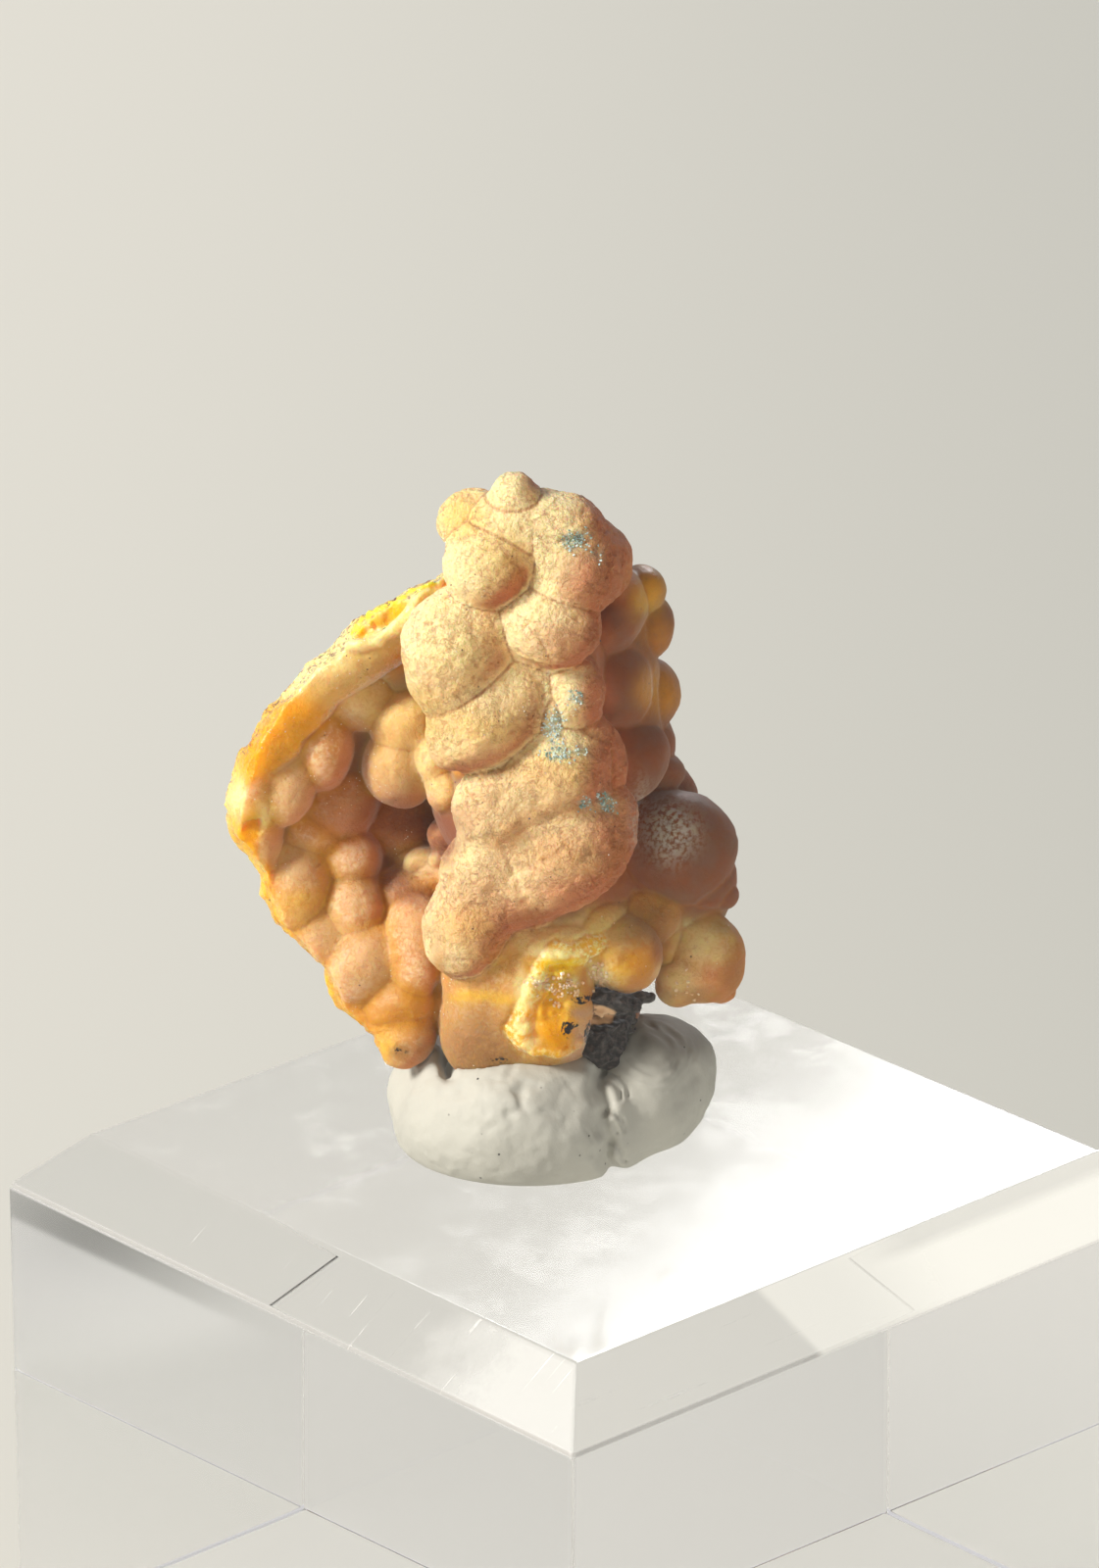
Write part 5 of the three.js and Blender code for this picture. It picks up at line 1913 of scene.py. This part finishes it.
sun_data = bpy.data.lights.new("sun", "SUN")
sun_data.energy = SUN_STRENGTH
sun_data.angle = SUN_WIDTH
sun_data.color = SUN_COLOUR
sun = bpy.data.objects.new("sun", sun_data)
sun.rotation_euler = SUN_FROM.to_track_quat("Z", "Y").to_euler()
bpy.context.scene.collection.objects.link(sun)
print("the sun stands", round(90.0 - Vector((0.0, 0.0, 1.0)).angle(SUN_FROM) * 180.0 / pi), "degrees up")

# %% [markdown]
# ## The window
#
# The block's top mirrors a bright window, high behind it on the right. It is a glowing card
# that fades at its edges, turned so that the edge of its reflection runs as in the photograph.
# It shows in the block alone: the camera and the matte pieces don't see it.

# %% The window
WINDOW_AT = Vector((0.214, 1.0, 0.674))
WINDOW_HALF = 0.26
WINDOW_FADE = 0.035
WINDOW_BRIGHTNESS = 10.0
WINDOW_ROLL = radians(-45.0)
window_out = (WINDOW_AT - Vector((0.0, 0.0, 0.03))).normalized()
level = Vector((0.0, 0.0, 1.0)).cross(window_out).normalized()
plumb = window_out.cross(level)
window_side = cos(WINDOW_ROLL) * level + sin(WINDOW_ROLL) * plumb
window_up = cos(WINDOW_ROLL) * plumb - sin(WINDOW_ROLL) * level
CARD = ((-1, -1), (-1, 1), (1, 1), (1, -1))
window_corners = [WINDOW_AT + WINDOW_HALF * (a * window_side + b * window_up) for a, b in CARD]


def card(name, corners, finish):
    """A flat card with corners in metres, unseen by the camera and by matte pieces."""
    piece = make_mesh(name, np.array(corners) / MM, ONE_FACE)
    piece.data.materials.append(finish)
    piece.visible_camera = False
    piece.visible_diffuse = False
    piece.visible_shadow = False
    return piece


def window_glow():
    """Bright in the middle, fading to nothing at the window's edge."""
    f = Finish("window glow")
    x, y, z = f.axes()

    def off(axis):
        """How far a point is from the window's middle, along one of its axes."""
        middle = WINDOW_AT.dot(axis)
        return ((x * axis.x + y * axis.y + z * axis.z - middle) ** 2.0) ** 0.5

    glow = f.between(off(window_side), WINDOW_HALF, WINDOW_HALF - WINDOW_FADE)
    glow = glow * f.between(off(window_up), WINDOW_HALF, WINDOW_HALF - WINDOW_FADE)
    light = f.colour(glow, BLACK, (1.0, 1.0, 1.0))
    return f.surface(Base_Color=BLACK, Emission_Color=light, Emission_Strength=WINDOW_BRIGHTNESS)


window = card("window", window_corners, window_glow())
print("the window is", 2 * WINDOW_HALF, "m wide")

# %% [markdown]
# ## Soft lights
#
# Light that the room and the block throw back softens the shaded side: a wide glow from the
# right, a small one from the block's own top, and a weak one from the front. Each shines at
# the specimen and is neither seen nor mirrored.

# %% Soft lights
SPECIMEN_MIDDLE = Vector((0.0, 0.0, 0.04))


def soft_light(name, place, size, watts, colour):
    """A soft light that shines at the specimen but isn't seen or mirrored."""
    data = bpy.data.lights.new(name, "AREA")
    data.size = size
    data.energy = watts
    data.color = colour
    light = bpy.data.objects.new(name, data)
    light.location = place
    light.rotation_euler = (light.location - SPECIMEN_MIDDLE).to_track_quat("Z", "Y").to_euler()
    light.visible_glossy = False
    light.visible_transmission = False
    light.visible_camera = False
    bpy.context.scene.collection.objects.link(light)


soft_light("bounce", (0.16, -0.16, 0.05), 0.12, 0.10, (1.0, 0.95, 0.88))
soft_light("glare off the block", (0.022, -0.022, 0.0275), 0.02, 0.001, (1.0, 0.98, 0.94))
soft_light("front fill", (-0.22, -0.36, 0.10), 0.2, 0.12, (1.0, 0.93, 0.84))
print("lights:", len(bpy.data.lights))

# %% [markdown]
# ## A grey card
#
# Seen through the block, a part of the room is darker. A grey card beside the block stands for
# it. It is clear below a slanting line, and shows only through the block.

# %% A grey card beside the block
DARK_AT = Vector((0.078, 0.012, 0.075))
DARK_HALF = Vector((0.0, 0.045, 0.036))
DARK_FADE = 0.0015
DARK_LINE = 0.033
DARK_SLANT = 0.7
DARK_GREY = (0.42, 0.42, 0.40)


def dark_corner():
    f = Finish("dark corner")
    _, y, z = f.axes()
    above = z - (DARK_LINE + DARK_SLANT * y + 0.002 * f.noise(12.0))
    see_through = f.add("ShaderNodeBsdfTransparent")
    grey = f.shader(Base_Color=BLACK, Emission_Color=DARK_GREY, Emission_Strength=1.0)
    return f.finished(f.mixed(f.between(above, 0.0, DARK_FADE), see_through, grey))


dark_corners = [DARK_AT + Vector((0.0, a * DARK_HALF.y, b * DARK_HALF.z)) for a, b in CARD]
dark = card("dark_corner", dark_corners, dark_corner())
dark.visible_glossy = False
print("the grey card reaches up to", round(DARK_AT.z + DARK_HALF.z, 3), "m")

# %% [markdown]
# ## The room all round
#
# The sky lights the scene only weakly, because the sun does most. The wall that the camera
# sees is brighter than that, and so is what the block mirrors. The kind of ray picks which
# brightness it meets.

# %% The room all round
ROOM_COLOUR = (1.0, 0.98, 0.97, 1.0)
SKY_STRENGTH = 0.17
WALL_BRIGHTNESS = 0.68
MIRRORED_BRIGHTNESS = 0.55

world = bpy.data.worlds.new("room")
world.use_nodes = True
nodes = world.node_tree.nodes
links = world.node_tree.links
sky = nodes["Background"]
sky.inputs["Color"].default_value = ROOM_COLOUR
path = nodes.new("ShaderNodeLightPath")
looking = nodes.new("ShaderNodeMath")
looking.operation = "MAXIMUM"
links.new(path.outputs["Is Camera Ray"], looking.inputs[0])
links.new(path.outputs["Is Transmission Ray"], looking.inputs[1])
brightness = SKY_STRENGTH
mirrored = (path.outputs["Is Glossy Ray"], MIRRORED_BRIGHTNESS)
for kind, seen_so in (mirrored, (looking.outputs[0], WALL_BRIGHTNESS)):
    choose = nodes.new("ShaderNodeMix")
    links.new(kind, choose.inputs["Factor"])
    if isinstance(brightness, float):
        choose.inputs["A"].default_value = brightness
    else:
        links.new(brightness, choose.inputs["A"])
    choose.inputs["B"].default_value = seen_so
    brightness = choose.outputs["Result"]
links.new(brightness, sky.inputs["Strength"])
bpy.context.scene.world = world
bpy.context.scene.view_settings.view_transform = "Standard"
print("the wall's brightness is", WALL_BRIGHTNESS)
